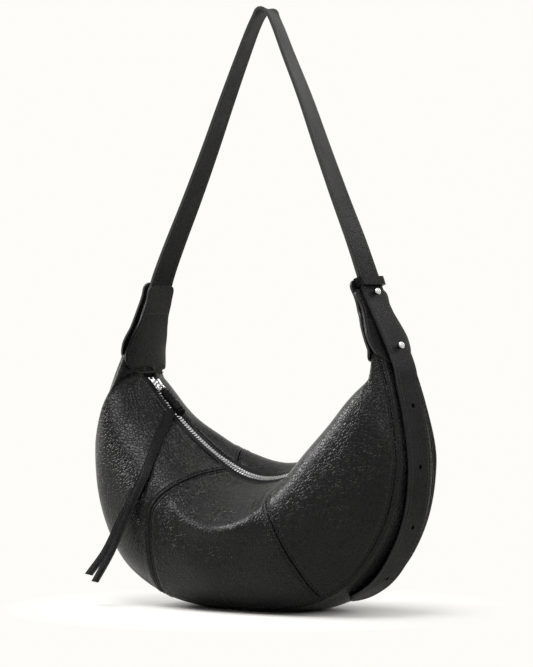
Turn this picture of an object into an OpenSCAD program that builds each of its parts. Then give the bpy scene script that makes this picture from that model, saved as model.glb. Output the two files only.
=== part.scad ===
// Half moon shoulder bag in soft leather: a crescent of six panels and a gusset,
// a metal zip along its inner curve, leather tabs at both horns and an adjustable strap.
// +X runs along the bag towards the strap's buttoned end, -Y is the front, +Z is up.
// The origin is on the floor, under the middle of the gusset.

/* [Leather body] */
// Length of the body from end to end
body_len = 348; // [310:1:400]
// Height of the horns, where the body ends under the tabs
horn_z = 258; // [246:1:275]
// Bulge of the front, from the middle plane
front_depth = 76; // [60:1:90]
// Bulge of the back, from the middle plane
back_depth = 62; // [50:1:80]
// Width of the gusset at the bottom
gusset_w = 78; // [70:1:86]
// How far the back rises above the zip in the middle
back_crest = 25; // [10:1:30]
// How far the front rises above the zip beside the buttoned end
front_crest = 15; // [5:1:20]
// How far the horn under the sewn tab leans in
horn_lean = 4; // [0:0.5:6]
// Thickness of the leather
leather_t = 1.8; // [1.2:0.1:2.4]
// Thickness of the lining
lining_t = 0.8; // [0.6:0.1:1.2]

/* [Zip] */
// Height of the zip's lowest point
zip_low_z = 116; // [105:1:125]
// Radius of the zip's sag at its lowest point
zip_sag_r = 80; // [70:1:100]
// Radius of the zip's long sides
zip_side_r = 320; // [290:1:360]
// Width of the zip between the two leather edges
zip_gap = 13; // [12:0.5:15]
// Distance from one tooth to the next on the same side
tooth_pitch = 3; // [2.8:0.1:3.6]
// Length of the slider
slider_len = 13; // [11:0.5:15]
// Length of the leather grip on the slider's ring
grip_len = 31; // [27:1:36]
// Width of one tassel strip
tassel_w = 8.5; // [6:0.5:9]

/* [Strap] */
// Width of the strap
strap_w = 30; // [24:1:32]
// Thickness of the strap
strap_t = 2.8; // [2.4:0.1:3.6]
// Height of the strap's top above the floor
strap_top_z = 545; // [480:1:600]
// Distance between the two studs, and between the holes in the tail
hole_pitch = 54; // [50:1:56]

/* [Tabs and studs] */
// Widest part of a tab
tab_w = 59; // [52:1:62]
// Thickness of one tab layer
tab_t = 2; // [1.6:0.1:2.4]
// Height of the tabs' tops
tab_top_z = 290; // [286:1:296]
// Radius of a stud's ball
stud_ball_r = 3.4; // [3:0.1:4]

/* [Hidden] */

// Overrun of every cut past the face that it opens
cut = 1;
// Gap between pieces that lie on each other
fit_gap = 0.3;
// Gap of a seam between two panels
seam_gap = 0.4;
// Sides of a round bore or pin
round_sides = 48;
wire_sides = 24;

// Half the body's length, and the turns of the zip's sag and of its ends
half_len = body_len / 2;
zip_sag_turn = 27;
// The zip lies this far behind the middle plane
zip_y = 7;

// Where the sag meets the long side, and the centre of the long side's arc on the +X side
sag_x = zip_sag_r * sin(zip_sag_turn);
sag_z = zip_low_z + zip_sag_r * (1 - cos(zip_sag_turn));
side_cx = sag_x - zip_side_r * sin(zip_sag_turn);
side_cz = sag_z + zip_side_r * cos(zip_sag_turn);
// The zip ends at this share of the body's half length
zip_end_share = 0.799;
zip_end_turn = asin((zip_end_share * half_len - side_cx) / zip_side_r);
zip_end_z = side_cz - zip_side_r * cos(zip_end_turn);
sag_run = zip_sag_r * zip_sag_turn * PI / 180;
side_run = zip_side_r * (zip_end_turn - zip_sag_turn) * PI / 180;
zip_half_run = sag_run + side_run;

// Turn, arc radius and arc centre of the zip at a distance from its lowest point
function zip_turn(run) =
    let (far = abs(run) > sag_run)
    sign(run) * (far ? zip_sag_turn + (abs(run) - sag_run) / zip_side_r * 180 / PI
                     : abs(run) / zip_sag_r * 180 / PI);
function zip_r(run) = abs(run) > sag_run ? zip_side_r : zip_sag_r;
function zip_centre(run) =
    abs(run) > sag_run ? [sign(run) * side_cx, side_cz] : [0, zip_low_z + zip_sag_r];
function zip_point(run) =
    zip_centre(run) + zip_r(run) * [sin(zip_turn(run)), -cos(zip_turn(run))];

// A smooth curve through the rows of a table whose first column is the position
function slot_of(rows, t) = max(0, min(len(rows) - 2, len([for (r = rows) if (r[0] <= t) 1]) - 1));
function slope_of(rows, i) =
    let (a = max(0, i - 1), b = min(len(rows) - 1, i + 1))
    (rows[b] - rows[a]) / (rows[b][0] - rows[a][0]);
function along(rows, t) =
    let (i = slot_of(rows, t), w = rows[i + 1][0] - rows[i][0], x = (t - rows[i][0]) / w)
    (2 * x ^ 3 - 3 * x ^ 2 + 1) * rows[i] + (x ^ 3 - 2 * x ^ 2 + x) * w * slope_of(rows, i)
    + (3 * x ^ 2 - 2 * x ^ 3) * rows[i + 1] + (x ^ 3 - x ^ 2) * w * slope_of(rows, i + 1);
function clamp(x, low, high) = max(low, min(high, x));
function ease(x) = let (c = clamp(x, 0, 1)) c * c * (3 - 2 * c);
function mix(a, b, x) = a + (b - a) * x;
function unit(v) = v / norm(v);

// The body is a row of sections, from -horn_share at one horn to horn_share at the other; the zip
// ends at +-1. Each row gives the outer line's place, the bulges, the gusset's half width and
// the crest behind the zip, as shares of half_len, horn_z, front_depth, back_depth,
// gusset_w / 2 and back_crest.
horn_share = 1.6;
body_shares = [
    [-0.2, -0.225, 0.002, 0.99, 1.00, 1.00, 0.93],
    [0.0, 0.000, 0.000, 1.00, 1.00, 1.00, 1.00],
    [0.2, 0.225, 0.002, 0.99, 1.00, 1.00, 0.93],
    [0.4, 0.488, 0.032, 0.96, 0.96, 0.97, 0.66],
    [0.6, 0.755, 0.128, 0.89, 0.89, 0.92, 0.42],
    [0.8, 0.937, 0.305, 0.77, 0.79, 0.83, 0.28],
    [1.0, 0.997, 0.500, 0.63, 0.69, 0.75, 0.18],
    [1.2, 0.962, 0.695, 0.46, 0.53, 0.68, 0.06],
    [1.4, 0.893, 0.856, 0.335, 0.41, 0.60, 0.00],
    [1.6, 0.800, 0.985, 0.28, 0.345, 0.52, 0.00]
];
// The inner line past the zip's end, as shares of half_len and of the height from that end to horn_z
horn_inner_shares = [[1.2, 0.787, 0.2065], [1.4, 0.776, 0.6161], [1.6, 0.742, 1.000]];
horn_inner_rows = concat(
    [for (t = [0.9, 1.0])
        let (p = zip_point(t * zip_half_run)) [t, p[0], p[1]]],
    [for (r = horn_inner_shares) [r[0], r[1] * half_len, mix(zip_end_z, horn_z, r[2])]]
);

// Share of a section's height at which the panels are widest, and how far the front slumps
ridge_share = 0.40;
slump_share = 0.50;
// Height of the gusset's rounded edge, its share of a thin section, and the bag's sag on the floor
gusset_edge = 5.5;
gusset_edge_share = 0.30;
floor_sink = 2.6;
// Half the opening between the front and back where no zip holds them apart
horn_gap = 0.4;
// The leather edges stay apart up to here, just past the zip's end
zip_over_share = 1.06;
// Turn of the curve from the widest line to the gusset's seam
side_turn = 78;
// Where a section's top curve and side curve end, counted from 0 at the zip to 1 under the bag
top_end_share = 0.40;
seam_share = 0.80;

function outer_line(t) =
    let (r = along(body_shares, abs(t)), lean = horn_lean * ease((-t - 0.4) / 1.0))
    [sign(t) * r[1] * half_len + lean, r[2] * horn_z];
inner_lean_share = 0.5;
function inner_line(t) =
    abs(t) <= 1 ? zip_point(t * zip_half_run)
                : let (r = along(horn_inner_rows, abs(t)))
                  [sign(t) * r[1] + inner_lean_share * horn_lean * ease((-t - 1) / 0.5), r[2]];
// The front rises beside the buttoned end, and stays level with the zip on the other side
function front_rise(t) = front_crest * ease((t - 0.15) / 0.55) * (1 - ease((t - 0.95) / 0.3));

// The crest's bump starts at the zip's edge and ends before the widest line
crest_turn_share = 2.2;
crest_power_share = 0.8;
// Height of the section's top curve at a turn of 0 at the zip to 90 at the widest line
function top_rise(t, side, h, a) =
    let (
        slump = side < 0 ? slump_share * clamp(1 - abs(t) / 1.3, 0, 1) : 0,
        crest = side < 0 ? front_rise(t) : along(body_shares, abs(t))[6] * back_crest
    )
    ridge_share * h * ((1 - slump) * (1 - cos(a)) + slump * sin(a))
    - crest * sin(min(180, crest_turn_share * a)) ^ crest_power_share;

// Place of the leather's edge beside the zip, across the bag
function edge_place(t, side) =
    mix(zip_y, 0, ease((abs(t) - 1) / 0.4))
    + side * mix(zip_gap / 2, horn_gap, ease((abs(t) - zip_over_share) / 0.1));

// One point of the body's outer face: t along the crescent, s from 0 at the zip's front edge
// through 1 under the bag to 2 at the zip's back edge
function raw_point(t, s) =
    let (
        r = along(body_shares, abs(t)),
        out = outer_line(t),
        inn = inner_line(t),
        h = norm(out - inn),
        m = (out - inn) / h,
        front = s <= 1,
        u = front ? s : 2 - s,
        side = front ? -1 : 1,
        depth = front ? r[3] * front_depth : r[4] * back_depth,
        g = r[5] * gusset_w / 2,
        edge_y = edge_place(t, side),
        edge_h = min(gusset_edge, gusset_edge_share * h),
        a = 90 * min(1, u / top_end_share),
        w = side_turn * clamp((u - top_end_share) / (seam_share - top_end_share), 0, 1),
        x = clamp((u - seam_share) / (1 - seam_share), 0, 1),
        top_n = top_rise(t, side, h, a),
        y = u < top_end_share ? side * depth * sin(a) + edge_y * (1 - sin(a))
            : u < seam_share ? side * (g + (depth - g) * (cos(w) - cos(side_turn)) / (1 - cos(side_turn)))
            : side * g * (1 - x),
        n = u < top_end_share ? top_n
            : u < seam_share ? ridge_share * h + (h * (1 - ridge_share) - edge_h) * sin(w) / sin(side_turn)
            : h - edge_h + edge_h * sin(90 * x)
    )
    [inn[0] + m[0] * n, y, inn[1] + m[1] * n - floor_sink * (1 - ease(abs(t) / 0.9))];
function on_floor(p, z) = [p[0], p[1], max(z, p[2])];
function floor_point(t, s) = on_floor(raw_point(t, s), 0);
// Step used to measure the direction of the surface
probe_share = 0.012;
function normal_at(t, s) =
    let (
        ds = floor_point(t, min(2, s + probe_share)) - floor_point(t, max(0, s - probe_share)),
        dt = floor_point(t + probe_share, s) - floor_point(t - probe_share, s)
    )
    unit(cross(ds, dt));
// The same point at a depth under the outer face
function body_point(t, s, depth) =
    on_floor(floor_point(t, s) - depth * normal_at(t, s), depth);

// A closed slab between two grids of points, face grid outwards and back grid inwards
module slab(face, back) {
    rows = len(face);
    cols = len(face[0]);
    function id(k, i, j) = (k * rows + i) * cols + j;
    function two(a, b, c, d) = [[a, b, c], [a, c, d]];
    points = [for (grid = [face, back]) for (row = grid) for (p = row) p];
    quads = concat(
        [for (i = [0:rows - 2], j = [0:cols - 2])
            two(id(0, i, j), id(0, i, j + 1), id(0, i + 1, j + 1), id(0, i + 1, j))],
        [for (i = [0:rows - 2], j = [0:cols - 2])
            two(id(1, i, j), id(1, i + 1, j), id(1, i + 1, j + 1), id(1, i, j + 1))],
        [for (i = [0:rows - 2])
            two(id(0, i, 0), id(0, i + 1, 0), id(1, i + 1, 0), id(1, i, 0))],
        [for (i = [0:rows - 2])
            two(id(0, i + 1, cols - 1), id(0, i, cols - 1), id(1, i, cols - 1), id(1, i + 1, cols - 1))],
        [for (j = [0:cols - 2])
            two(id(0, 0, j + 1), id(0, 0, j), id(1, 0, j), id(1, 0, j + 1))],
        [for (j = [0:cols - 2])
            two(id(0, rows - 1, j), id(0, rows - 1, j + 1), id(1, rows - 1, j + 1), id(1, rows - 1, j))]
    );
    polyhedron(points, [for (q = quads) for (f = q) f]);
}

// A closed solid through a row of rings that each have the same number of points
module loft(rings) {
    n = len(rings[0]);
    last = len(rings) - 1;
    points = [for (r = rings) for (p = r) p];
    sides = [for (i = [0:last - 1], k = [0:n - 1])
        let (a = i * n + k, b = i * n + (k + 1) % n)
        each [[a, b, b + n], [a, b + n, a + n]]];
    polyhedron(points, concat(
        [[for (k = [n - 1:-1:0]) k]],
        sides,
        [[for (k = [0:n - 1]) last * n + k]]
    ));
}

// The seams between the panels: rows of s and the place t of the left and right seam there
seam_shares = [[0.0, -0.25, 0.19], [0.08, -0.30, 0.22], [0.16, -0.35, 0.26], [0.28, -0.40, 0.32],
    [0.40, -0.43, 0.37], [0.60, -0.44, 0.42], [0.80, -0.45, 0.455]];
seam_half_share = seam_gap / 2 / zip_half_run;
seam_width_share = 0.003;
panel_shares = [0, 0.04, 0.09, 0.15, 0.22, 0.30, 0.38, 0.46, 0.55, 0.64, 0.72, seam_share - seam_width_share];

// A panel from the horn or seam at one side to the next: 0 and 3 are the horns, 1 and 2 the seams
module panel(back, from, to, count) {
    function edge_t(s, e, gap) =
        e == 0 ? -horn_share : e == 3 ? horn_share : along(seam_shares, s)[e] + gap;
    s_list = back ? [for (i = [len(panel_shares) - 1:-1:0]) 2 - panel_shares[i]] : panel_shares;
    function place(s, k, depth) =
        let (u = back ? 2 - s : s)
        body_point(mix(edge_t(u, from, seam_half_share), edge_t(u, to, -seam_half_share), k / count), s, depth);
    slab(
        [for (s = s_list) [for (k = [0:count]) place(s, k, 0)]],
        [for (s = s_list) [for (k = [0:count]) place(s, k, leather_t)]]
    );
}

panel_steps = 13;
centre_steps = 8;
module front_left_panel() { color([0.07, 0.07, 0.07]) panel(false, 0, 1, panel_steps); }
module front_centre_panel() { color([0.08, 0.08, 0.08]) panel(false, 1, 2, centre_steps); }
module front_right_panel() { color([0.07, 0.07, 0.07]) panel(false, 2, 3, panel_steps); }
module back_left_panel() { color([0.07, 0.07, 0.07]) panel(true, 0, 1, panel_steps); }
module back_centre_panel() { color([0.08, 0.08, 0.08]) panel(true, 1, 2, centre_steps); }
module back_right_panel() { color([0.07, 0.07, 0.07]) panel(true, 2, 3, panel_steps); }

gusset_steps = 36;
gusset_shares = [for (k = [0:6]) mix(seam_share + seam_width_share, 2 - seam_share - seam_width_share, k / 6)];
module gusset() {
    color([0.06, 0.06, 0.06])
        slab(
            [for (s = gusset_shares) [for (k = [0:gusset_steps])
                body_point(mix(-horn_share, horn_share, k / gusset_steps), s, 0)]],
            [for (s = gusset_shares) [for (k = [0:gusset_steps])
                body_point(mix(-horn_share, horn_share, k / gusset_steps), s, leather_t)]]
        );
}

// The lining follows the inside of the leather and is open along the zip
lining_gap = 1;
lining_end_share = 1.02;
lining_steps = 22;
lining_shares = [0.01, 0.06, 0.14, 0.24, 0.34, 0.44, 0.58, 0.72, 0.82, 0.92, 1.08, 1.18, 1.28, 1.42, 1.56,
    1.66, 1.76, 1.86, 1.94, 1.99];
module lining() {
    function sheet(depth) =
        [for (s = lining_shares) [for (k = [0:lining_steps])
            body_point(mix(-lining_end_share, lining_end_share, k / lining_steps), s, depth)]];
    color([0.12, 0.11, 0.10])
        slab(sheet(leather_t + lining_gap), sheet(leather_t + lining_gap + lining_t));
}

// Sets its children on the zip's path: X along the zip, Z square to it towards the open side
module on_zip(run) {
    c = zip_centre(run);
    translate([c[0], zip_y, c[1]])
        rotate([0, -zip_turn(run), 0])
            translate([0, 0, -zip_r(run)])
                children();
}

// A strip of constant section along the three arcs of the zip, from y0 to y1 across it. The arcs
// stop just short of each other
arc_gap_turn = 0.1;
arc_sides = 180;
module zip_strip(y0, y1, z0, z1) {
    module arc(centre, r, from, to) {
        translate([centre[0], zip_y, centre[1]])
            rotate([90, 0, 0])
                rotate([0, 0, from - 90])
                    rotate_extrude(angle = to - from, $fn = arc_sides)
                        translate([r - z1, -y1])
                            square([z1 - z0, y1 - y0]);
    }
    sag_end = zip_sag_turn - arc_gap_turn;
    arc([0, zip_low_z + zip_sag_r], zip_sag_r, -sag_end, sag_end);
    arc([side_cx, side_cz], zip_side_r, zip_sag_turn, zip_end_turn);
    arc([-side_cx, side_cz], zip_side_r, -zip_end_turn, -zip_sag_turn);
}

// Tape under each leather edge, and the teeth that hold its inner edge
tape_t = 0.6;
tape_in = 2.1;
// The tape ends this far under the leather's edge
tape_edge = 0.2;
tape_out = zip_gap / 2 - tape_edge;
tooth_h = 2.4;
tooth_neck = 1.0;
tooth_head = 1.3;
tooth_root_y = 3.1;
tooth_tip_y = 0.7;
// The slot that clamps the tape
clamp_gap = 0.1;
clamp_h = tape_t + 2 * clamp_gap;
module zip_tape_front() { color([0.05, 0.05, 0.05]) zip_strip(-tape_out, -tape_in, -tape_t / 2, tape_t / 2); }
module zip_tape_back() { color([0.05, 0.05, 0.05]) zip_strip(tape_in, tape_out, -tape_t / 2, tape_t / 2); }

module tooth(side) {
    difference() {
        linear_extrude(tooth_h, center = true)
            polygon([
                [-tooth_head / 2, side * tooth_root_y], [tooth_head / 2, side * tooth_root_y],
                [tooth_neck / 2, side * tooth_tip_y], [tooth_head / 2, 0],
                [tooth_neck / 3, -side * tooth_tip_y], [-tooth_neck / 3, -side * tooth_tip_y],
                [-tooth_head / 2, 0], [-tooth_neck / 2, side * tooth_tip_y]
            ]);
        // The slot that clamps the tape's edge
        translate([-tooth_head, side > 0 ? tape_in - clamp_gap : -tooth_root_y - cut, -clamp_h / 2])
            cube([2 * tooth_head, tooth_root_y + cut - tape_in + clamp_gap, clamp_h]);
    }
}
teeth_count = floor((zip_half_run - slider_len / 2) / tooth_pitch);
module teeth(side) {
    for (k = [-teeth_count + 2:teeth_count])
        on_zip((k + (side > 0 ? 0.5 : 0)) * tooth_pitch)
            tooth(side);
}
module zip_teeth_front() { color([0.75, 0.75, 0.77]) teeth(-1); }
module zip_teeth_back() { color([0.75, 0.75, 0.77]) teeth(1); }

// Stops clamped on the tapes at both ends of the teeth
stop_len = 2.4;
stop_w = 1.6;
module zip_stops() {
    color([0.75, 0.75, 0.77]) {
        for (side = [-1, 1])
            on_zip(-zip_half_run + stop_len)
                difference() {
                    translate([-stop_len / 2, side * tape_in - (side > 0 ? 0 : stop_w), -tooth_h / 2])
                        cube([stop_len, stop_w, tooth_h]);
                    translate([-stop_len, side * tape_in - (side > 0 ? cut : stop_w + cut), -clamp_h / 2])
                        cube([2 * stop_len, stop_w + 2 * cut, clamp_h]);
                }
    }
}

// The slider stands at the closed end. Its run is measured from the zip's lowest point
slider_run = -(zip_half_run - slider_len / 2 - stop_len - stop_len);
plate_t = 1.2;
plate_w = 9;
nose_share = 0.385;
channel_h = tooth_h + 2 * fit_gap;
flange_t = 0.9;
tape_slot = tape_t + 4 * fit_gap;
wedge_len = 2.6;
wedge_w = 1.8;
module slider_body() {
    color([0.8, 0.8, 0.82])
        on_zip(slider_run)
            difference() {
                linear_extrude(channel_h + 2 * plate_t, center = true)
                    polygon([
                        [-slider_len / 2, -plate_w / 2], [slider_len / 4, -plate_w / 2],
                        [slider_len / 2, -nose_share * plate_w], [slider_len / 2, nose_share * plate_w],
                        [slider_len / 4, plate_w / 2], [-slider_len / 2, plate_w / 2]
                    ]);
                // The channel that the teeth run in, past the wedge that parts them
                translate([-slider_len / 2 + wedge_len, -plate_w / 2 + flange_t, -channel_h / 2])
                    cube([slider_len, plate_w - 2 * flange_t, channel_h]);
                for (y = [wedge_w / 2, -plate_w / 2 + flange_t])
                    translate([-slider_len / 2 - cut, y, -channel_h / 2])
                        cube([slider_len, plate_w / 2 - flange_t - wedge_w / 2, channel_h]);
                translate([-slider_len, -plate_w, -tape_slot / 2])
                    difference() {
                        cube([2 * slider_len, 2 * plate_w, tape_slot]);
                        translate([slider_len / 2 - cut, plate_w - wedge_w / 2, -cut])
                            cube([wedge_len + cut, wedge_w, tape_slot + 2 * cut]);
                    }
            }
}

// The bail arches over the top plate, and the ring of the pull runs through it
ring_r = 4.6;
ring_wire_r = 0.9;
bail_gap = 0.8;
bail_t = 1.2;
bail_w = 2.6;
bail_half = 3.2;
hinge_h = channel_h / 2 + plate_t + ring_wire_r + bail_gap;
module slider_bail() {
    arch_z = channel_h / 2 + plate_t;
    arch_h = 2 * (ring_wire_r + bail_gap);
    color([0.8, 0.8, 0.82])
        on_zip(slider_run)
            translate([0, bail_w / 2, arch_z])
                rotate([90, 0, 0])
                    linear_extrude(bail_w)
                        difference() {
                            polygon([
                                [-bail_half - bail_t, 0], [bail_half + bail_t, 0],
                                [bail_half + bail_t, arch_h], [bail_half, arch_h + bail_t],
                                [-bail_half, arch_h + bail_t], [-bail_half - bail_t, arch_h]
                            ]);
                            translate([-bail_half, -cut])
                                square([2 * bail_half, arch_h + cut]);
                        }
}

// The pull leans up a little, so that its grip lies on the teeth, and turns to the front.
// X runs down the pull
pull_lean_turn = 8;
pull_turn = 5;
module on_pull() {
    on_zip(slider_run)
        translate([0, 0, hinge_h])
            rotate([0, -pull_lean_turn, -pull_turn])
                children();
}
module pull_ring() {
    color([0.8, 0.8, 0.82])
        on_pull()
            translate([ring_r, 0, 0])
                rotate_extrude($fn = round_sides)
                    translate([ring_r, 0])
                        circle(ring_wire_r, $fn = wire_sides);
}

grip_r = 4.2;
grip_neck_r = 3;
grip_cap_r = 4.7;
grip_cap_len = 3;
band_len = 8.5;
band_r = 4.6;
loop_r = 2.2;
loop_w = 5;
// How deep the loop sinks into the grip
loop_sink = 0.6;
grip_x = 2 * ring_r + loop_r - loop_sink;
wrap_groove = 0.5;
band_x = grip_x + grip_len - grip_cap_len - band_len - 2 * fit_gap;
wrap_end = band_x - grip_x - fit_gap;
module pull_grip() {
    color([0.05, 0.05, 0.05])
        on_pull()
            difference() {
                union() {
                    translate([2 * ring_r, loop_w / 2, 0])
                        rotate([90, 0, 0])
                            cylinder(loop_w, r = loop_r, $fn = round_sides);
                    translate([grip_x, 0, 0])
                        rotate([0, 90, 0])
                            rotate_extrude($fn = round_sides)
                                polygon(concat(
                                    [[0, 0], [grip_neck_r, 0], [grip_r, grip_neck_r / 2]],
                                    [for (k = [1:3])
                                        let (z = k * (band_x - grip_x) / 4)
                                        each [[grip_r, z - wrap_groove], [grip_r - wrap_groove, z],
                                            [grip_r, z + wrap_groove]]],
                                    [[grip_r, wrap_end], [grip_neck_r, wrap_end],
                                        [grip_neck_r, grip_len - grip_cap_len],
                                        [grip_cap_r, grip_len - grip_cap_len],
                                        [grip_cap_r, grip_len - wrap_groove],
                                        [grip_cap_r - wrap_groove, grip_len], [0, grip_len]]
                                ));
                }
                // The eye that the ring runs through
                translate([ring_r, 0, 0])
                    rotate_extrude($fn = round_sides)
                        translate([ring_r, 0])
                            circle(ring_wire_r + fit_gap / 2, $fn = wire_sides);
            }
}
module tassel_band() {
    color([0.05, 0.05, 0.05])
        on_pull()
            translate([band_x, 0, 0])
                rotate([0, 90, 0])
                    difference() {
                        cylinder(band_len, r = band_r, $fn = round_sides);
                        translate([0, 0, -cut])
                            cylinder(band_len + 2 * cut, r = grip_neck_r + fit_gap, $fn = round_sides);
                    }
}

// The tassel's two strips hang from the band over the front: their middle lines in X, Y and Z,
// as shares of half_len, front_depth and horn_z
tassel_t = 1.4;
// Step between rows that the direction of a strip or of the strap is measured over
row_step_share = 0.05;
front_strip_shares = [[-0.597, -0.038, 0.690], [-0.575, -0.204, 0.647], [-0.546, -0.425, 0.596],
    [-0.511, -0.668, 0.530], [-0.487, -0.876, 0.460], [-0.507, -1.008, 0.381], [-0.525, -1.045, 0.307],
    [-0.636, -1.070, 0.195], [-0.733, -1.110, 0.088]];
rear_strip_shares = [[-0.609, -0.014, 0.684], [-0.582, -0.196, 0.642], [-0.553, -0.414, 0.590],
    [-0.517, -0.652, 0.524], [-0.508, -0.856, 0.450], [-0.545, -0.968, 0.372], [-0.610, -0.985, 0.300],
    [-0.702, -1.000, 0.195], [-0.802, -1.040, 0.110]];
// The way that the strips face at some of those rows
strip_face_shares = [[0, 0.66, -0.30, 0.70], [4, 0.40, -0.72, 0.56], [5, -0.10, -1.00, 0.10],
    [8, -0.30, -1.00, 0.10]];
module tassel_strip(shares, width) {
    steps = 30;
    last = len(shares) - 1;
    sizes = [half_len, front_depth, horn_z];
    rows = [for (k = [0:last]) concat([k], [for (i = [0:2]) shares[k][i] * sizes[i]])];
    function centre(k) = let (r = along(rows, k)) [r[1], r[2], r[3]];
    function ring(k) =
        let (
            dir = unit(centre(min(last, k + row_step_share)) - centre(max(0, k - row_step_share))),
            f = along(strip_face_shares, k),
            across = unit(cross(dir, [f[1], f[2], f[3]])),
            out = cross(across, dir),
            a = across * width / 2,
            o = out * tassel_t / 2,
            c = centre(k)
        )
        [c - a - o, c + a - o, c + a + o, c - a + o];
    loft([for (k = [0:steps]) ring(k / steps * last)]);
}
module tassel_strip_front() { color([0.05, 0.05, 0.05]) tassel_strip(front_strip_shares, tassel_w); }
module tassel_strip_rear() { color([0.05, 0.05, 0.05]) tassel_strip(rear_strip_shares, tassel_w); }

// Tabs: two layers over each horn, shaped like a bottle. Rows of the height share and the
// half width share of tab_w / 2
bottle_shares = [[0, 0.10], [0.012, 0.36], [0.04, 0.60], [0.08, 0.78], [0.14, 0.91], [0.24, 0.99],
    [0.36, 1.0], [0.52, 0.89], [0.70, 0.75], [0.80, 0.735], [0.90, 0.79], [0.96, 0.76], [1.0, 0.62]];
// Where each layer starts on the body, and the share of half_len at which it ends at the top
left_inner_share = 1.16;
left_outer_share = 1.37;
right_inner_share = 1.26;
right_outer_share = 1.41;
function tab_start(inner, side) =
    inner ? (side > 0 ? right_inner_share : left_inner_share)
          : (side > 0 ? right_outer_share : left_outer_share);
tab_top_share = 0.6856;
tab_top_x = tab_top_share * half_len;
tab_top_gap = strap_t + 2 * fit_gap;
// The right tab's inner layer stands up behind the keeper, clear of it
stand_up = 7;
stand_back = 2.7;
// Gap between an inner layer and the horn under it
tab_seat_gap = 0.6;
strap_foot_x = tab_top_x + tab_top_gap / 2;
tab_steps = 8;
// The inner layer bends a little less than the horn under it
tab_ease_share = 1.05;
tab_body_steps = 13;
tab_top_steps = 6;

// Middle of a layer's face that lies on the body, the way out of it and its curve across
function tab_line(inner, side, t) =
    let (
        near = inner_line(side * t), far = outer_line(side * t),
        inn = [side * near[0], near[1]], out = [side * far[0], far[1]],
        h = norm(out - inn), m = (out - inn) / h
    )
    inner ? [inn, -m, h] : [out, m, h];
function tab_top(inner, side) =
    inner && side > 0 ? [tab_top_x - stand_back, tab_top_z + stand_up]
        : [tab_top_x + (inner ? 0 : side > 0 ? fit_gap : tab_top_gap), tab_top_z];
function tab_point(inner, side, t, rise, q, depth) =
    let (
        line = tab_line(inner, side, t),
        start = line[0] + line[1] * ((inner ? tab_seat_gap : fit_gap) + depth),
        top = tab_top(inner, side) + [inner ? -depth : depth, 0],
        mid = rise > 0 ? mix(start, top, rise) : start,
        low_z = tab_line(inner, side, tab_start(inner, side))[0][1],
        share = clamp((mid[1] - low_z) / (top[1] - low_z), 0, 1),
        half_w = along(bottle_shares, share)[1] * tab_w / 2,
        y = q * half_w + (inner ? mix(zip_y, 0, ease((t - 1) / 0.3)) : 0),
        face = q < 0 ? -1 : 1,
        r = along(body_shares, t),
        edge_y = edge_place(t, face),
        bulge = (q < 0 ? r[3] * front_depth : r[4] * back_depth) * tab_ease_share + tab_t - face * edge_y,
        g = r[5] * gusset_w / 2,
        edge_h = min(gusset_edge, gusset_edge_share * line[2]),
        fall = inner ? top_rise(side * t, face, line[2], asin(clamp(face * (y - edge_y) / bulge, 0, 1)))
            : edge_h * (1 - sin(90 * (1 - min(1, abs(y) / g)))),
        back = mid - line[1] * fall * (1 - rise)
    )
    [back[0], y, back[1]];
module tab(inner, side) {
    t0 = tab_start(inner, side);
    stations = concat(
        [for (k = [0:tab_body_steps]) [mix(t0, horn_share, (k / tab_body_steps) ^ 1.5), 0]],
        [for (k = [1:tab_top_steps]) [horn_share, k / tab_top_steps]]
    );
    function grid(depth, flip) =
        [for (st = stations) [for (c = [0:tab_steps])
            let (q = (flip ? -1 : 1) * (2 * c / tab_steps - 1))
            tab_point(inner, side, st[0], st[1], q, depth)]];
    slab(grid(tab_t, !inner), grid(0, !inner));
}
module left_tab_inner() { color([0.06, 0.06, 0.06]) mirror([1, 0, 0]) tab(true, -1); }
module left_tab_outer() { color([0.06, 0.06, 0.06]) mirror([1, 0, 0]) tab(false, -1); }
module right_tab_inner() { color([0.06, 0.06, 0.06]) tab(true, 1); }
module right_tab_outer() {
    color([0.06, 0.06, 0.06])
        difference() {
            tab(false, 1);
            for (run = stud_runs)
                on_tail(run)
                    translate([0, 0, -3 * tab_t])
                        cylinder(6 * tab_t, r = screw_r + fit_gap / 3, $fn = round_sides);
        }
}

// Strap: its middle line from the left tab over the top to the right keeper, in X and Z,
// as shares of strap_foot_x and of the height from the tab tops to the strap's top
strap_rise = strap_top_z - tab_top_z;
strap_shares = [
    [0, -1.000, 0.000], [1, -0.962, 0.062], [2, -0.860, 0.172], [3, -0.686, 0.318], [4, -0.515, 0.492],
    [5, -0.343, 0.675], [6, -0.190, 0.832], [7, -0.070, 0.940], [8, -0.012, 0.982], [9, 0.045, 0.986],
    [10, 0.115, 0.936], [11, 0.225, 0.832], [12, 0.409, 0.675], [13, 0.571, 0.492], [14, 0.735, 0.318],
    [15, 0.889, 0.172], [16, 0.980, 0.062], [17, 1.022, 0.000]
];
strap_last = len(strap_shares) - 1;
// Turn of the strap about the vertical at its top
strap_twist_turn = 21;
strap_edge = 0.8;
function strap_mid(k) =
    let (r = along(strap_shares, k)) [r[1] * strap_foot_x, r[2] * strap_rise + tab_top_z];
function strap_ring(mid, dir, twist, w, t) =
    let (
        along_dir = [dir[0], 0, dir[1]],
        across = unit([sin(twist), cos(twist), 0] - along_dir * (along_dir * [sin(twist), cos(twist), 0])),
        out = cross(across, along_dir),
        c = [mid[0], 0, mid[1]],
        e = min(strap_edge, t / 3)
    )
    [for (q = [[-w / 2, -t / 2 + e], [-w / 2 + e, -t / 2], [w / 2 - e, -t / 2], [w / 2, -t / 2 + e],
               [w / 2, t / 2 - e], [w / 2 - e, t / 2], [-w / 2 + e, t / 2], [-w / 2, t / 2 - e]])
        c + across * q[0] + out * q[1]];
function strap_dir(k) =
    unit(strap_mid(min(strap_last, k + row_step_share)) - strap_mid(max(0, k - row_step_share)));
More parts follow.
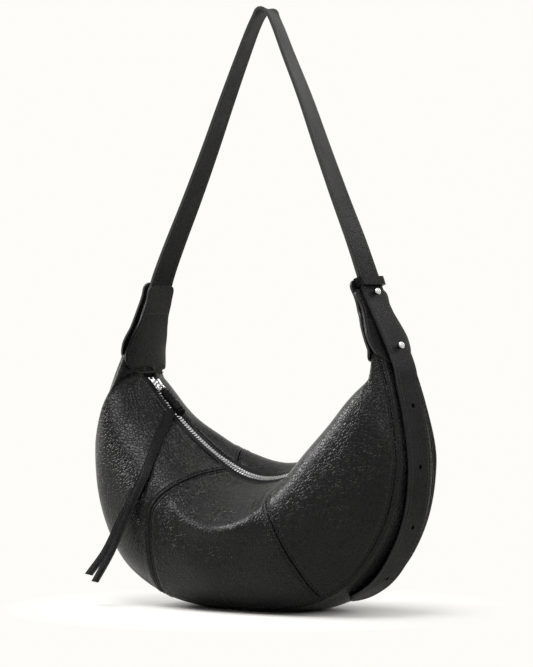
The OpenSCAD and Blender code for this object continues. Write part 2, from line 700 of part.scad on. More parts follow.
function strap_turn(k) = -strap_twist_turn * clamp((strap_mid(k)[1] - tab_top_z) / strap_rise, 0, 1);
module strap_piece(from, to, steps) {
    loft([for (i = [0:steps])
        let (k = mix(from, to, i / steps))
        strap_ring(strap_mid(k), strap_dir(k), strap_turn(k), strap_w, strap_t)]);
}
// The strap leans on these two bends, just above the tabs. Places along it are counted in rows
bend_share = 1.4;
joint_share = 0.004;
// The gap between the bend and the tail's end
seat_share = 0.035;
strap_steps = 56;
bend_steps = 5;
module shoulder_strap() {
    color([0.05, 0.05, 0.05])
        strap_piece(bend_share + joint_share, strap_last - bend_share - joint_share, strap_steps);
}
module strap_bend_left() {
    color([0.05, 0.05, 0.05]) strap_piece(joint_share, bend_share - joint_share, bend_steps);
}
module strap_bend_right() {
    color([0.05, 0.05, 0.05])
        strap_piece(strap_last - bend_share + joint_share, strap_last - seat_share, bend_steps);
}

// The strap's end between the layers of the left tab
strap_end_share = 0.12;
module strap_end() {
    low = (tab_line(true, -1, horn_share)[0] + tab_line(false, -1, horn_share)[0]) / 2;
    top = [-strap_foot_x, tab_top_z];
    end = mix([-low[0], low[1]], top, strap_end_share);
    color([0.05, 0.05, 0.05])
        loft([for (k = [0, 1]) strap_ring(mix(end, top, k), unit(top - end), 0, strap_w, strap_t)]);
}

// The tail lies along the gusset. It is measured by its place t on the crescent, and from
// horn_share up by a second part that rises beside the right tab
tail_start_share = 0.48;
tail_end_share = 1.58;
tail_step_share = 0.03;
// The tail climbs onto the tab's outer layer between these shares before it
climb_from_share = 0.10;
climb_share = 0.08;
// How far the loose end of the tail stands off the gusset, and the shares over which it rises and falls
tail_slack = 3;
slack_start_share = 0.03;
slack_rise_share = 0.20;
slack_fall_share = 0.55;
function tail_lift(t) =
    fit_gap + ease((t - right_outer_share + climb_from_share) / climb_share) * (tab_t + fit_gap)
    + tail_slack * ease((t - tail_start_share + slack_start_share) / slack_rise_share)
        * (1 - ease((t - slack_fall_share) / slack_fall_share));
function tail_body(t) =
    let (
        p = body_point(t, 1, 0), n = normal_at(t, 1),
        q = p + n * (tail_lift(t) + strap_t / 2)
    )
    [q[0], q[2]];
tail_top = strap_mid(strap_last);
tail_top_steps = 5;
tail_low = concat(
    [for (t = [tail_start_share:tail_step_share:tail_end_share]) tail_body(t)],
    [for (k = [1:tail_top_steps]) mix(tail_body(tail_end_share), tail_top, k / tail_top_steps)]
);
function tail_runs(i) = i == 0 ? 0 : tail_runs(i - 1) + norm(tail_low[i] - tail_low[i - 1]);
tail_len = tail_runs(len(tail_low) - 1);
tail_table = [for (i = [0:len(tail_low) - 1]) concat([tail_runs(i)], tail_low[i])];
function tail_mid(run) = let (r = along(tail_table, run)) [r[1], r[2]];
function tail_dir(run) =
    unit(tail_mid(min(tail_len, run + strap_t / 2)) - tail_mid(max(0, run - strap_t / 2)));
// Sets its children on the tail: X up along it, Z out of it
module on_tail(run) {
    m = tail_mid(run);
    d = tail_dir(run);
    translate([m[0], 0, m[1]])
        rotate([0, -atan2(d[1], d[0]), 0])
            rotate([180, 0, 0])
                children();
}
// Where the upper stud sits, measured down from the tail's upper end
stud_down = 5;
stud_runs = [tail_len - stud_down, tail_len - stud_down - hole_pitch];
hole_runs = [for (k = [2:5]) tail_len - stud_down - k * hole_pitch];
stud_neck_r = 1.7;
hole_r = 2.2;
slit_len = 5;
slit_w = 0.7;
module strap_tail() {
    steps = 52;
    color([0.05, 0.05, 0.05])
        difference() {
            loft([for (i = [0:steps])
                let (run = tail_len * i / steps)
                strap_ring(tail_mid(run), tail_dir(run), 0, strap_w, strap_t)]);
            for (run = concat(stud_runs, hole_runs))
                on_tail(run)
                    translate([0, 0, -strap_t]) {
                        cylinder(2 * strap_t, r = hole_r, $fn = wire_sides);
                        translate([0, -slit_w / 2, 0])
                            cube([slit_len, slit_w, 2 * strap_t]);
                    }
        }
}

// Studs: a ball on a neck and a foot, screwed through the outer layer of the right tab
screw_r = 1.1;
stud_foot = 0.2;
// The ball is a little flat: its middle and half its height as shares of its radius
ball_lift_share = 0.9;
ball_round_share = 0.8;
ball_lift = ball_lift_share * stud_ball_r;
ball_round = ball_round_share * stud_ball_r;
module studs() {
    color([0.85, 0.85, 0.87])
        for (run = stud_runs)
            on_tail(run)
                difference() {
                    rotate_extrude($fn = round_sides)
                        polygon(concat(
                            [[0, -strap_t / 2], [stud_neck_r, -strap_t / 2],
                                [stud_neck_r, strap_t / 2 + stud_foot]],
                            [for (a = [-60:15:90])
                                [stud_ball_r * cos(a), strap_t / 2 + ball_lift + ball_round * sin(a)]]
                        ));
                    translate([0, 0, -strap_t / 2 - cut])
                        cylinder(strap_t + cut, r = screw_r + fit_gap / 6, $fn = round_sides);
                }
}
module stud_screws() {
    color([0.8, 0.8, 0.82])
        for (run = stud_runs)
            on_tail(run)
                translate([0, 0, -strap_t / 2 - tab_t - fit_gap])
                    cylinder(tab_t + strap_t, r = screw_r, $fn = round_sides);
}

// Keeper: a flat loop round the strap at the top of the right tab
keeper_h = 8;
keeper_t = 2;
keeper_share = strap_last - 0.44;
module keeper_loop() {
    in_w = strap_w + 2 * fit_gap;
    in_t = strap_t + 2 * fit_gap;
    m = strap_mid(keeper_share);
    d = strap_dir(keeper_share);
    color([0.05, 0.05, 0.05])
        translate([m[0], 0, m[1]])
            rotate([0, 90 - atan2(d[1], d[0]), 0])
                linear_extrude(keeper_h, center = true)
                    difference() {
                        square([in_t + 2 * keeper_t, in_w + 2 * keeper_t], center = true);
                        square([in_t, in_w], center = true);
                    }
}

front_left_panel();
front_centre_panel();
front_right_panel();
back_left_panel();
back_centre_panel();
back_right_panel();
gusset();
lining();
zip_tape_front();
zip_tape_back();
zip_teeth_front();
zip_teeth_back();
zip_stops();
slider_body();
slider_bail();
pull_ring();
pull_grip();
tassel_band();
tassel_strip_front();
tassel_strip_rear();
left_tab_inner();
left_tab_outer();
right_tab_inner();
right_tab_outer();
shoulder_strap();
strap_bend_left();
strap_bend_right();
strap_end();
strap_tail();
keeper_loop();
studs();
stud_screws();
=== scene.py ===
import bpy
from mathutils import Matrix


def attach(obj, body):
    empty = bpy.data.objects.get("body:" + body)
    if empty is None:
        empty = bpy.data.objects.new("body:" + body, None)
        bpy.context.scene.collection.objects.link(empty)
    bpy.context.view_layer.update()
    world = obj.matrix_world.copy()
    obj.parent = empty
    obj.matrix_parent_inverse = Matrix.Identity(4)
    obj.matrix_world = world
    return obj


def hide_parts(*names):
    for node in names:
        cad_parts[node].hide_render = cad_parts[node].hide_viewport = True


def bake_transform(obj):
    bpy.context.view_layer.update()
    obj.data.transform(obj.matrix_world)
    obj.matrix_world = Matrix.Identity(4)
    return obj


bl_info = {
    "name": "Half Moon Bag",
    "version": (1, 0, 0),
    "blender": (4, 5, 0),
    "location": "View3D > Sidebar > Half Moon Bag",
    "description": "Dresses a crescent shoulder bag in pebbled leather, stitching, a zip and a strap",
    "category": "Add Mesh",
}

import bpy
import math
import numpy as np
from bpy.props import FloatProperty, FloatVectorProperty, PointerProperty
from bpy.types import Operator, Panel, PropertyGroup
from mathutils import Matrix, Vector

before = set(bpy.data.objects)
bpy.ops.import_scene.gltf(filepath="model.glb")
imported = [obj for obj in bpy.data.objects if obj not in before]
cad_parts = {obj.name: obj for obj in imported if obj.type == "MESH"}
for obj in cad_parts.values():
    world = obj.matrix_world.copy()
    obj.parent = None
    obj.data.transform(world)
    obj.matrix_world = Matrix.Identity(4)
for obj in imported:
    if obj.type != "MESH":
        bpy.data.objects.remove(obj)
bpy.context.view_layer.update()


# Sizes and colours

class HalfMoonBodySizes(PropertyGroup):
    """Sizes of the leather body, as the frame has them"""
    length: FloatProperty(
        name="Body length", description="From end to end of the crescent", default=0.348, unit="LENGTH")
    horn_height: FloatProperty(
        name="Horn height", description="Where the body ends under the tabs", default=0.258, unit="LENGTH")
    front_depth: FloatProperty(
        name="Front depth", description="Bulge of the front", default=0.076, unit="LENGTH")
    back_depth: FloatProperty(
        name="Back depth", description="Bulge of the back", default=0.062, unit="LENGTH")
    gusset_width: FloatProperty(
        name="Gusset width", description="Width of the band under the bag", default=0.078, unit="LENGTH")
    back_crest: FloatProperty(
        name="Back crest", description="Rise of the back above the zip", default=0.025, unit="LENGTH")
    front_crest: FloatProperty(
        name="Front crest", description="Rise of the front above the zip", default=0.015, unit="LENGTH")
    horn_lean: FloatProperty(
        name="Horn lean", description="How far the sewn horn leans in", default=0.004, unit="LENGTH")
    leather: FloatProperty(
        name="Leather", description="Thickness of the body leather", default=0.0018, unit="LENGTH")
    zip_low: FloatProperty(
        name="Zip low point", description="Height of the zip's lowest point", default=0.116, unit="LENGTH")
    sag_radius: FloatProperty(
        name="Sag radius", description="Radius of the zip's sag", default=0.080, unit="LENGTH")
    side_radius: FloatProperty(
        name="Side radius", description="Radius of the zip's long sides", default=0.320, unit="LENGTH")
    zip_gap: FloatProperty(
        name="Zip gap", description="Distance between the two leather edges", default=0.013, unit="LENGTH")


class HalfMoonStrapSizes(PropertyGroup):
    """Sizes of the strap, the tabs and the tassel"""
    width: FloatProperty(
        name="Strap width", description="Width of the strap", default=0.030, unit="LENGTH")
    thickness: FloatProperty(
        name="Strap thickness", description="Thickness of the strap", default=0.0028, unit="LENGTH")
    top: FloatProperty(
        name="Strap top", description="Height of the strap above the floor", default=0.545, unit="LENGTH")
    hole_pitch: FloatProperty(
        name="Hole pitch", description="Distance between the holes in the tail", default=0.054, unit="LENGTH")
    tab_width: FloatProperty(
        name="Tab width", description="Widest part of a tab", default=0.059, unit="LENGTH")
    tab_thickness: FloatProperty(
        name="Tab thickness", description="Thickness of a tab layer", default=0.002, unit="LENGTH")
    tab_top: FloatProperty(
        name="Tab top", description="Height of the tabs' tops", default=0.290, unit="LENGTH")
    tassel_width: FloatProperty(
        name="Tassel width", description="Width of one tassel strip", default=0.0085, unit="LENGTH")
    stitch_pitch: FloatProperty(
        name="Stitch pitch", description="Distance from stitch to stitch", default=0.0034, unit="LENGTH")


class HalfMoonFinishes(PropertyGroup):
    """Colours and grain of the bag's materials"""
    leather: FloatVectorProperty(
        name="Body leather", description="Colour of the body leather", subtype="COLOR", size=3,
        default=(0.0040, 0.0040, 0.0042))
    strap: FloatVectorProperty(
        name="Strap leather", description="Colour of strap, tabs and tassel", subtype="COLOR", size=3,
        default=(0.0072, 0.0072, 0.0075))
    thread: FloatVectorProperty(
        name="Thread", description="Colour of the stitches", subtype="COLOR", size=3,
        default=(0.010, 0.010, 0.0105))
    metal: FloatVectorProperty(
        name="Metal", description="Colour of slider, ring and studs", subtype="COLOR", size=3,
        default=(0.60, 0.60, 0.61))
    lining: FloatVectorProperty(
        name="Lining", description="Colour of the lining cloth", subtype="COLOR", size=3,
        default=(0.045, 0.042, 0.038))
    backdrop: FloatVectorProperty(
        name="Backdrop", description="Colour of the floor and background", subtype="COLOR", size=3,
        default=(0.985, 0.975, 0.94))
    pebble: FloatProperty(
        name="Pebble size", description="Width of one pebble of the grain", default=0.0031, unit="LENGTH")
    pebble_depth: FloatProperty(
        name="Pebble depth", description="Height of the grain", default=0.0006, unit="LENGTH")


def body_sizes():
    return bpy.context.scene.half_moon_body


def strap_sizes():
    return bpy.context.scene.half_moon_strap


def finishes():
    return bpy.context.scene.half_moon_finishes


# Curves and distances

def ease(x):
    x = np.clip(x, 0, 1)
    return x * x * (3 - 2 * x)


def rise(x, start, over):
    """Goes smoothly from 0 at start to 1"""
    return ease((x - start) / over)


def hump(x, middle, reach, height):
    return height * np.exp(-((x - middle) / reach) ** 2)


def quarter(x):
    """A quarter of a circle, for rounded ends"""
    x = np.clip(x, 0, 1)
    return np.sqrt(x * (2 - x))


def mix(a, b, x):
    return a + (b - a) * x


def unit(v):
    return v / np.maximum(np.linalg.norm(v, axis=-1, keepdims=True), 1e-12)


def mean_way(ways):
    return ways.reshape(-1, 3).mean(0)


def along(rows, t):
    """Smooth curve through the rows of a table whose first column is the position"""
    rows = np.asarray(rows, float)
    t = np.asarray(t, float)
    x0, v = rows[:, 0], rows[:, 1:]
    slope = np.empty_like(v)
    slope[1:-1] = (v[2:] - v[:-2]) / (x0[2:] - x0[:-2])[:, None]
    slope[0] = (v[1] - v[0]) / (x0[1] - x0[0])
    slope[-1] = (v[-1] - v[-2]) / (x0[-1] - x0[-2])
    i = np.clip(np.searchsorted(x0, t, side="right") - 1, 0, len(x0) - 2)
    w = x0[i + 1] - x0[i]
    x = ((t - x0[i]) / w)[..., None]
    w = w[..., None]
    return ((2 * x ** 3 - 3 * x ** 2 + 1) * v[i] + (x ** 3 - 2 * x ** 2 + x) * w * slope[i]
            + (3 * x ** 2 - 2 * x ** 3) * v[i + 1] + (x ** 3 - x ** 2) * w * slope[i + 1])


def run_of(points, axis=0):
    """Distance run along lines of points"""
    steps = np.linalg.norm(np.diff(points, axis=axis), axis=-1)
    return np.concatenate([np.zeros_like(steps.take([0], axis)), np.cumsum(steps, axis)], axis)


def at_run(at, run, points):
    """The points at given distances of their run"""
    return np.stack([np.interp(at, run, points[:, k]) for k in range(3)], -1)


# The crescent's surface. t runs along it from horn to horn, and s round it from the zip's front
# edge through the bottom at 1 to the zip's back edge at 2

HORN_T = 1.6
SAG_TURN = math.radians(27)
SIDE_TURN = math.radians(78)
ZIP_END_SHARE = 0.799
ZIP_Y = 0.007
SEWN_GAP = 0.0004
FLOOR_SINK = 0.0026
RIDGE_SHARE = 0.40
SLUMP_SHARE = 0.50
GUSSET_EDGE, GUSSET_EDGE_SHARE = 0.0055, 0.30
TOP_END, SEAM_S = 0.40, 0.80
NORMAL_STEP = 0.012
INNER_LEAN_SHARE = 0.5
SLUMP_T, SINK_T = 1.3, 0.9
CREST_TURN, CREST_POWER = 2.2, 0.8
# Where along t a change starts, and over how much of it
OUTER_LEAN, INNER_LEAN = (0.4, 1), (1, 0.5)
FRONT_CREST_UP, FRONT_CREST_DOWN = (0.15, 0.55), (0.75, 0.6)
SEWN_SHUT, ZIP_TO_MIDDLE, TAB_TO_MIDDLE = (1.06, 0.1), (1, 0.4), (1, 0.3)
# t, then shares of the sizes: X, Z, front depth, back depth, gusset width, back crest
BODY_SHARES = np.array([
    [-0.2, -0.225, 0.002, 0.99, 1.00, 1.00, 0.93], [0.0, 0.000, 0.000, 1.00, 1.00, 1.00, 1.00],
    [0.2, 0.225, 0.002, 0.99, 1.00, 1.00, 0.93], [0.4, 0.488, 0.032, 0.96, 0.96, 0.97, 0.66],
    [0.6, 0.755, 0.128, 0.89, 0.89, 0.92, 0.42], [0.8, 0.937, 0.305, 0.77, 0.79, 0.83, 0.28],
    [1.0, 0.997, 0.500, 0.63, 0.69, 0.75, 0.18], [1.2, 0.962, 0.695, 0.46, 0.53, 0.68, 0.06],
    [1.4, 0.893, 0.856, 0.335, 0.41, 0.60, 0.00], [1.6, 0.800, 0.985, 0.28, 0.345, 0.52, 0.00]])
# t, share of X, share of the rise from the zip's end to the horn
HORN_INNER_SHARES = [[1.2, 0.787, 0.2065], [1.4, 0.776, 0.6161], [1.6, 0.742, 1.000]]
# s, t of the left seam, t of the right seam
SEAM_ROWS = np.array([
    [0.0, -0.25, 0.19], [0.08, -0.30, 0.22], [0.16, -0.34, 0.26], [0.28, -0.385, 0.328],
    [0.40, -0.40, 0.378], [0.60, -0.385, 0.44], [0.80, -0.385, 0.455]])


def zip_half():
    """Length of half of the zip, along it"""
    b = body_sizes()
    side_x = (b.sag_radius - b.side_radius) * math.sin(SAG_TURN)
    end_turn = math.asin((ZIP_END_SHARE * b.length / 2 - side_x) / b.side_radius)
    return b.sag_radius * SAG_TURN + b.side_radius * (end_turn - SAG_TURN)


def zip_turn(run):
    """Slope of the zip's line at a distance from its lowest point"""
    b = body_sizes()
    far = np.abs(run) - b.sag_radius * SAG_TURN
    return np.sign(run) * np.where(far > 0, SAG_TURN + far / b.side_radius, np.abs(run) / b.sag_radius)


def zip_point(run):
    """X and Z of the zip at a distance from its lowest point"""
    b = body_sizes()
    turn = np.abs(zip_turn(run))
    side_x = (b.sag_radius - b.side_radius) * math.sin(SAG_TURN)
    side_z = b.zip_low + b.sag_radius * (1 - math.cos(SAG_TURN)) + b.side_radius * math.cos(SAG_TURN)
    far = turn > SAG_TURN
    x = np.where(far, side_x + b.side_radius * np.sin(turn), b.sag_radius * np.sin(turn))
    z = np.where(far, side_z - b.side_radius * np.cos(turn), b.zip_low + b.sag_radius * (1 - np.cos(turn)))
    return np.sign(run) * x, z


def outer_line(t):
    """X and Z of the crescent's outer edge"""
    b = body_sizes()
    r = along(BODY_SHARES, np.abs(t))
    lean = b.horn_lean * rise(-t, *OUTER_LEAN)
    return np.stack([np.sign(t) * r[..., 0] * b.length / 2 + lean, r[..., 1] * b.horn_height], -1)


def inner_line(t):
    """X and Z of the crescent's inner edge, on the zip and up the horns beyond it"""
    b = body_sizes()
    half = zip_half()
    t = np.asarray(t, float)
    zip_x, zip_z = zip_point(t * half)
    rows = [[q, *[float(c) for c in zip_point(q * half)]] for q in (0.9, 1.0)]
    rows += [[q, x * b.length / 2, mix(rows[1][2], b.horn_height, z)] for q, x, z in HORN_INNER_SHARES]
    horn = along(rows, np.maximum(np.abs(t), 0.9))
    lean = INNER_LEAN_SHARE * b.horn_lean * rise(-t, *INNER_LEAN)
    far = np.abs(t) > 1
    return np.stack([np.where(far, np.sign(t) * horn[..., 0] + lean, zip_x),
                     np.where(far, horn[..., 1], zip_z)], -1)


def top_rise(t, side, h, a):
    """Height of the section's top curve at the turn a, from 0 at the zip to a right angle"""
    b = body_sizes()
    slump = np.where(side < 0, SLUMP_SHARE * np.clip(1 - np.abs(t) / SLUMP_T, 0, 1), 0)
    front = b.front_crest * rise(t, *FRONT_CREST_UP) * (1 - rise(t, *FRONT_CREST_DOWN))
    crest = np.where(side < 0, front, along(BODY_SHARES, np.abs(t))[..., 5] * b.back_crest)
    return (RIDGE_SHARE * h * ((1 - slump) * (1 - np.cos(a)) + slump * np.sin(a))
            - crest * np.clip(np.sin(np.minimum(math.pi, CREST_TURN * a)), 0, 1) ** CREST_POWER)


def zip_place(t, shift=ZIP_TO_MIDDLE):
    """Place of the zip across the bag, which goes to the bag's middle up the horns"""
    return mix(ZIP_Y, 0, rise(np.abs(t), *shift))


def zip_opening(t):
    """Half the distance between the leather's edges"""
    return mix(body_sizes().zip_gap / 2, SEWN_GAP, rise(np.abs(t), *SEWN_SHUT))


def section(t, side):
    """Depth, half the gusset's width and the leather edge's place, of one side of a section"""
    b = body_sizes()
    r = along(BODY_SHARES, np.abs(t))
    depth = np.where(side < 0, r[..., 2] * b.front_depth, r[..., 3] * b.back_depth)
    return depth, r[..., 4] * b.gusset_width / 2, zip_place(t) + side * zip_opening(t)


def raw_point(t, s):
    """A place on the leather's outer face, before its seams and folds"""
    t, s = np.broadcast_arrays(np.asarray(t, float), np.asarray(s, float))
    inner = inner_line(t)
    down = outer_line(t) - inner
    h = np.linalg.norm(down, axis=-1)
    down = down / h[..., None]
    u = np.where(s <= 1, s, 2 - s)
    side = np.where(s <= 1, -1.0, 1.0)
    depth, g, edge_y = section(t, side)
    edge_h = np.minimum(GUSSET_EDGE, GUSSET_EDGE_SHARE * h)
    a = math.pi / 2 * np.minimum(1, u / TOP_END)
    w = SIDE_TURN * np.clip((u - TOP_END) / (SEAM_S - TOP_END), 0, 1)
    x = np.clip((u - SEAM_S) / (1 - SEAM_S), 0, 1)
    top, middle = u < TOP_END, u < SEAM_S
    waist = (np.cos(w) - math.cos(SIDE_TURN)) / (1 - math.cos(SIDE_TURN))
    y = np.where(top, side * depth * np.sin(a) + edge_y * (1 - np.sin(a)),
                 np.where(middle, side * (g + (depth - g) * waist), side * g * (1 - x)))
    fall = (h * (1 - RIDGE_SHARE) - edge_h) * np.sin(w) / math.sin(SIDE_TURN)
    n = np.where(top, top_rise(t, side, h, a),
                 np.where(middle, RIDGE_SHARE * h + fall, h - edge_h + edge_h * np.sin(math.pi / 2 * x)))
    z = inner[..., 1] + down[..., 1] * n - FLOOR_SINK * (1 - ease(np.abs(t) / SINK_T))
    return np.stack([inner[..., 0] + down[..., 0] * n, y, np.maximum(z, 0)], -1)


def body_normal(t, s):
    d = NORMAL_STEP
    ds = raw_point(t, np.minimum(2, s + d)) - raw_point(t, np.maximum(0, s - d))
    return unit(np.cross(ds, raw_point(t + d, s) - raw_point(t - d, s)))


# Mesh helpers

def deselect():
    if bpy.context.object and bpy.context.object.mode != "OBJECT":
        bpy.ops.object.mode_set(mode="OBJECT")
    bpy.ops.object.select_all(action="DESELECT")


def pick(obj):
    deselect()
    obj.select_set(True)
    bpy.context.view_layer.objects.active = obj


def edit(obj, *steps):
    """Runs steps on the whole mesh in edit mode"""
    pick(obj)
    bpy.ops.object.mode_set(mode="EDIT")
    bpy.ops.mesh.select_all(action="SELECT")
    for step in steps:
        step()
    bpy.ops.object.mode_set(mode="OBJECT")


def close_faces(obj):
    """Closes seams and poles, and turns the faces out"""
    edit(obj, lambda: bpy.ops.mesh.remove_doubles(threshold=1e-6),
         lambda: bpy.ops.mesh.normals_make_consistent(inside=False))


def apply_modifiers(obj):
    pick(obj)
    for m in list(obj.modifiers):
        bpy.ops.object.modifier_apply(modifier=m.name)


def bevel(obj, width, segments, angle=30):
    m = obj.modifiers.new("Edges", "BEVEL")
    m.width, m.segments, m.limit_method, m.angle_limit = width, segments, "ANGLE", math.radians(angle)


def grid_piece(name, points):
    """A grid primitive drawn over rows and columns of points"""
    rows, cols = points.shape[:2]
    deselect()
    bpy.ops.mesh.primitive_grid_add(
        x_subdivisions=cols - 1, y_subdivisions=rows - 1, size=2, calc_uvs=True)
    obj = bpy.context.object
    obj.name = obj.data.name = name
    mesh = obj.data
    co = np.empty(len(mesh.vertices) * 3)
    mesh.vertices.foreach_get("co", co)
    co = co.reshape(-1, 3)
    j = np.rint((co[:, 0] + 1) / 2 * (cols - 1)).astype(int)
    i = np.rint((co[:, 1] + 1) / 2 * (rows - 1)).astype(int)
    mesh.vertices.foreach_set("co", points[i, j].ravel())
    mesh.update()
    return obj


def face_out(obj, outward):
    """Turns an open sheet so that its faces look along outward, a direction or one for each centre"""
    normals, centres = (np.empty(len(obj.data.polygons) * 3) for _ in range(2))
    obj.data.polygons.foreach_get("normal", normals)
    obj.data.polygons.foreach_get("center", centres)
    want = outward(centres.reshape(-1, 3)) if callable(outward) else outward
    if (normals.reshape(-1, 3) * want).sum() < 0:
        edit(obj, bpy.ops.mesh.flip_normals)


def thicken(obj, wall, offset, finish, edge=0.0, segments=2):
    """Gives a sheet its wall, with its finish on the faces and edge paint on the cut edges"""
    pick(obj)
    for key in (finish, "edge paint"):
        obj.data.materials.append(finish_of(key))
    m = obj.modifiers.new("Thickness", "SOLIDIFY")
    m.material_offset_rim = 1
    m.thickness = wall
    m.offset = offset
    m.use_even_offset = False
    if edge:
        bevel(obj, edge, segments, 55)
    apply_modifiers(obj)


def smooth(obj, angle=45):
    pick(obj)
    bpy.ops.object.shade_smooth_by_angle(angle=math.radians(angle))


def sheet_piece(name, points, outward, wall, finish, body="bag", offset=-1, edge=0.0, segments=2, angle=45):
    """A sheet drawn over points, with its wall and finish, on its body"""
    obj = grid_piece(name, points)
    face_out(obj, outward)
    thicken(obj, wall, offset, finish, edge, segments)
    smooth(obj, angle)
    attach(obj, body)
    return obj


def take_shape(obj):
    """Points and faces of a shaped piece, which goes"""
    co = np.array([v.co for v in obj.data.vertices])
    faces = sorted(tuple(p.vertices) for p in obj.data.polygons)
    bpy.data.objects.remove(obj, do_unlink=True)
    return co, faces


def lay_copies(co, places, *ways):
    """The points of a shape at each place, turned to its three directions there"""
    return places[:, None] + sum(way[:, None] * co[None, :, k:k + 1] for k, way in enumerate(ways))


def copies(name, points, faces, finish):
    """One mesh of many copies of a shape, from the points of each"""
    mesh = bpy.data.meshes.new(name)
    mesh.from_pydata(points.reshape(-1, 3).tolist(), [],
                     [tuple(v + k * points.shape[1] for v in f) for k in range(len(points)) for f in faces])
    obj = bpy.data.objects.new(name, mesh)
    bpy.context.scene.collection.objects.link(obj)
    mesh.materials.append(finish_of(finish))
    return obj


def paint_node(node, finish):
    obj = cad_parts[node]
    if not obj.material_slots:
        obj.data.materials.append(finish_of(finish))
    for slot in obj.material_slots:
        slot.material = finish_of(finish)


# Materials

class Tree:
    """Adds nodes to a material or a world and joins them"""

    def __init__(self, owner):
        self.owner = owner
        owner.use_nodes = True
        self.nodes, self.links = owner.node_tree.nodes, owner.node_tree.links

    def fill(self, node, sockets):
        """Sets sockets to numbers and colours, or joins them to outputs"""
        for key, value in sockets.items():
            if isinstance(value, bpy.types.NodeSocket):
                self.links.new(value, node.inputs[key])
            else:
                node.inputs[key].default_value = value
        return node

    def node(self, kind, sockets=None, **settings):
        made = self.nodes.new("ShaderNode" + kind)
        for key, value in settings.items():
            setattr(made, key, value)
        return self.fill(made, sockets or {})

    def maths(self, operation, a, b):
        return self.node("Math", {0: a, 1: b}, operation=operation).outputs[0]

    def span(self, value, low, high, to_low, to_high, curve="LINEAR"):
        """Carries a range of values over to another"""
        return self.node("MapRange", {"Value": value, "From Min": low, "From Max": high, "To Min": to_low,
                                      "To Max": to_high}, interpolation_type=curve).outputs["Result"]

    def seen(self):
        """1 for what the camera, a reflection or glass shows, and 0 for the light that falls on the bag"""
        path = self.node("LightPath").outputs
        rays = self.maths("MAXIMUM", path["Is Camera Ray"], path["Is Glossy Ray"])
        return self.maths("MAXIMUM", rays, path["Is Transmission Ray"])

    def show(self, output, share, plain, bright):
        """Ends the tree in a mix of two shaders"""
        mixed = self.node("MixShader", {"Fac": share, 1: plain.outputs[0], 2: bright.outputs[0]})
        self.fill(self.nodes[output], {"Surface": mixed.outputs[0]})


class Finish(Tree):
    """A new material on Object coordinates"""

    def __init__(self, name):
        super().__init__(bpy.data.materials.new(name))
        self.shader = self.nodes["Principled BSDF"]
        self.where = self.node("TexCoord").outputs["Object"]

    def shade(self, sockets):
        self.fill(self.shader, sockets)
        return self.owner

    def noise(self, scale, detail=3.0, rough=0.5):
        return self.node("TexNoise", {"Vector": self.where, "Scale": scale, "Detail": detail,
                                      "Roughness": rough}).outputs

    def ramp(self, value, stops):
        made = self.node("ValToRGB", {"Fac": value})
        elements = made.color_ramp.elements
        while len(elements) < len(stops):
            elements.new(0.5)
        for element, (place, colour) in zip(elements, stops):
            element.position, element.color = place, (*colour, 1)
        return made.outputs["Color"]

    def bump(self, height, distance, strength=1.0):
        made = self.node("Bump", {"Height": height, "Distance": distance, "Strength": strength})
        self.shade({"Normal": made.outputs["Normal"]})


def tint(colour, share):
    return tuple(min(1, c * share) for c in colour)


# Scale and reach of the grain's warp, and scale of its fine pores, in pebbles
WARP_SCALE, WARP_REACH, PORE_SCALE = 0.45, 1.1, 3.2
PATCH_SCALE = 26
# Shares of the grain's height, and the crease's width in pebbles
DOME, CREASE, PORES, CREASE_WIDTH = 0.15, 0.52, 0.02, 0.17


def leather_material(name, colour, pebble, depth, rough=(0.22, 0.32), top_highlight_and_patches=1.9, shine=0.18):
    """Tumbled leather: irregular pebbles with creases between them, softer in slow patches"""
    m = Finish(name)
    warp = m.noise(WARP_SCALE / pebble, 2.0)["Color"]
    bent = m.node("VectorMath", {0: warp, 1: (pebble * WARP_REACH,) * 3, 2: m.where},
                  operation="MULTIPLY_ADD")
    grain = {"Scale": 1 / pebble, "Vector": bent.outputs[0]}
    cells = m.node("TexVoronoi", grain).outputs["Distance"]
    borders = m.node("TexVoronoi", grain, feature="DISTANCE_TO_EDGE").outputs["Distance"]
    patches = m.noise(PATCH_SCALE, 2.0)["Fac"]
    pores = m.noise(PORE_SCALE / pebble)["Fac"]
    amount = m.span(patches, 0.35, 0.65, 0.55, 1.0)
    domes = m.span(cells, 0.0, 0.85, 1.0, 0.0, "SMOOTHSTEP")
    corners = m.span(cells, 0.6, 0.95, 1.0, 0.3, "SMOOTHSTEP")
    crease = m.maths("MULTIPLY", corners, m.span(borders, 0.0, CREASE_WIDTH, 0.0, 1.0, "SMOOTHSTEP"))
    height = m.maths("ADD", m.maths("MULTIPLY", domes, DOME), m.maths("MULTIPLY", crease, CREASE))
    height = m.maths("ADD", m.maths("MULTIPLY", height, amount), m.maths("MULTIPLY", pores, PORES))
    m.bump(height, depth)
    # Painted shade and highlight in the base colour: the creases are darkened to 0.3 of the colour as painted
    # shade, and the pebble tops are lightened as a painted highlight, more in the light slow patches, which
    # also vary the tone at random.
    crease_shade_and_tone = m.maths("ADD", m.maths("MULTIPLY", crease, 0.65), m.maths("MULTIPLY", patches, 0.4))
    stops = [(0.20, tint(colour, 0.3)), (0.70, colour), (0.95, tint(colour, top_highlight_and_patches))]
    return m.shade({"Base Color": m.ramp(crease_shade_and_tone, stops), "IOR": 1.46, "Specular IOR Level": shine,
                    "Roughness": m.span(patches, 0.3, 0.7, rough[1], rough[0])})


def metal_material(name, colour, rough):
    """Metal with slow smears and fine marks"""
    m = Finish(name)
    marks = m.noise(900, 4.0, 0.6)["Fac"]
    smears = m.noise(160, 2.0)["Fac"]
    m.bump(marks, 0.00002, 0.5)
    return m.shade({"Metallic": 1.0, "Base Color": m.ramp(smears, [(0.3, tint(colour, 0.86)), (0.7, colour)]),
                    "Roughness": m.span(marks, 0.3, 0.7, rough, rough + 0.12)})


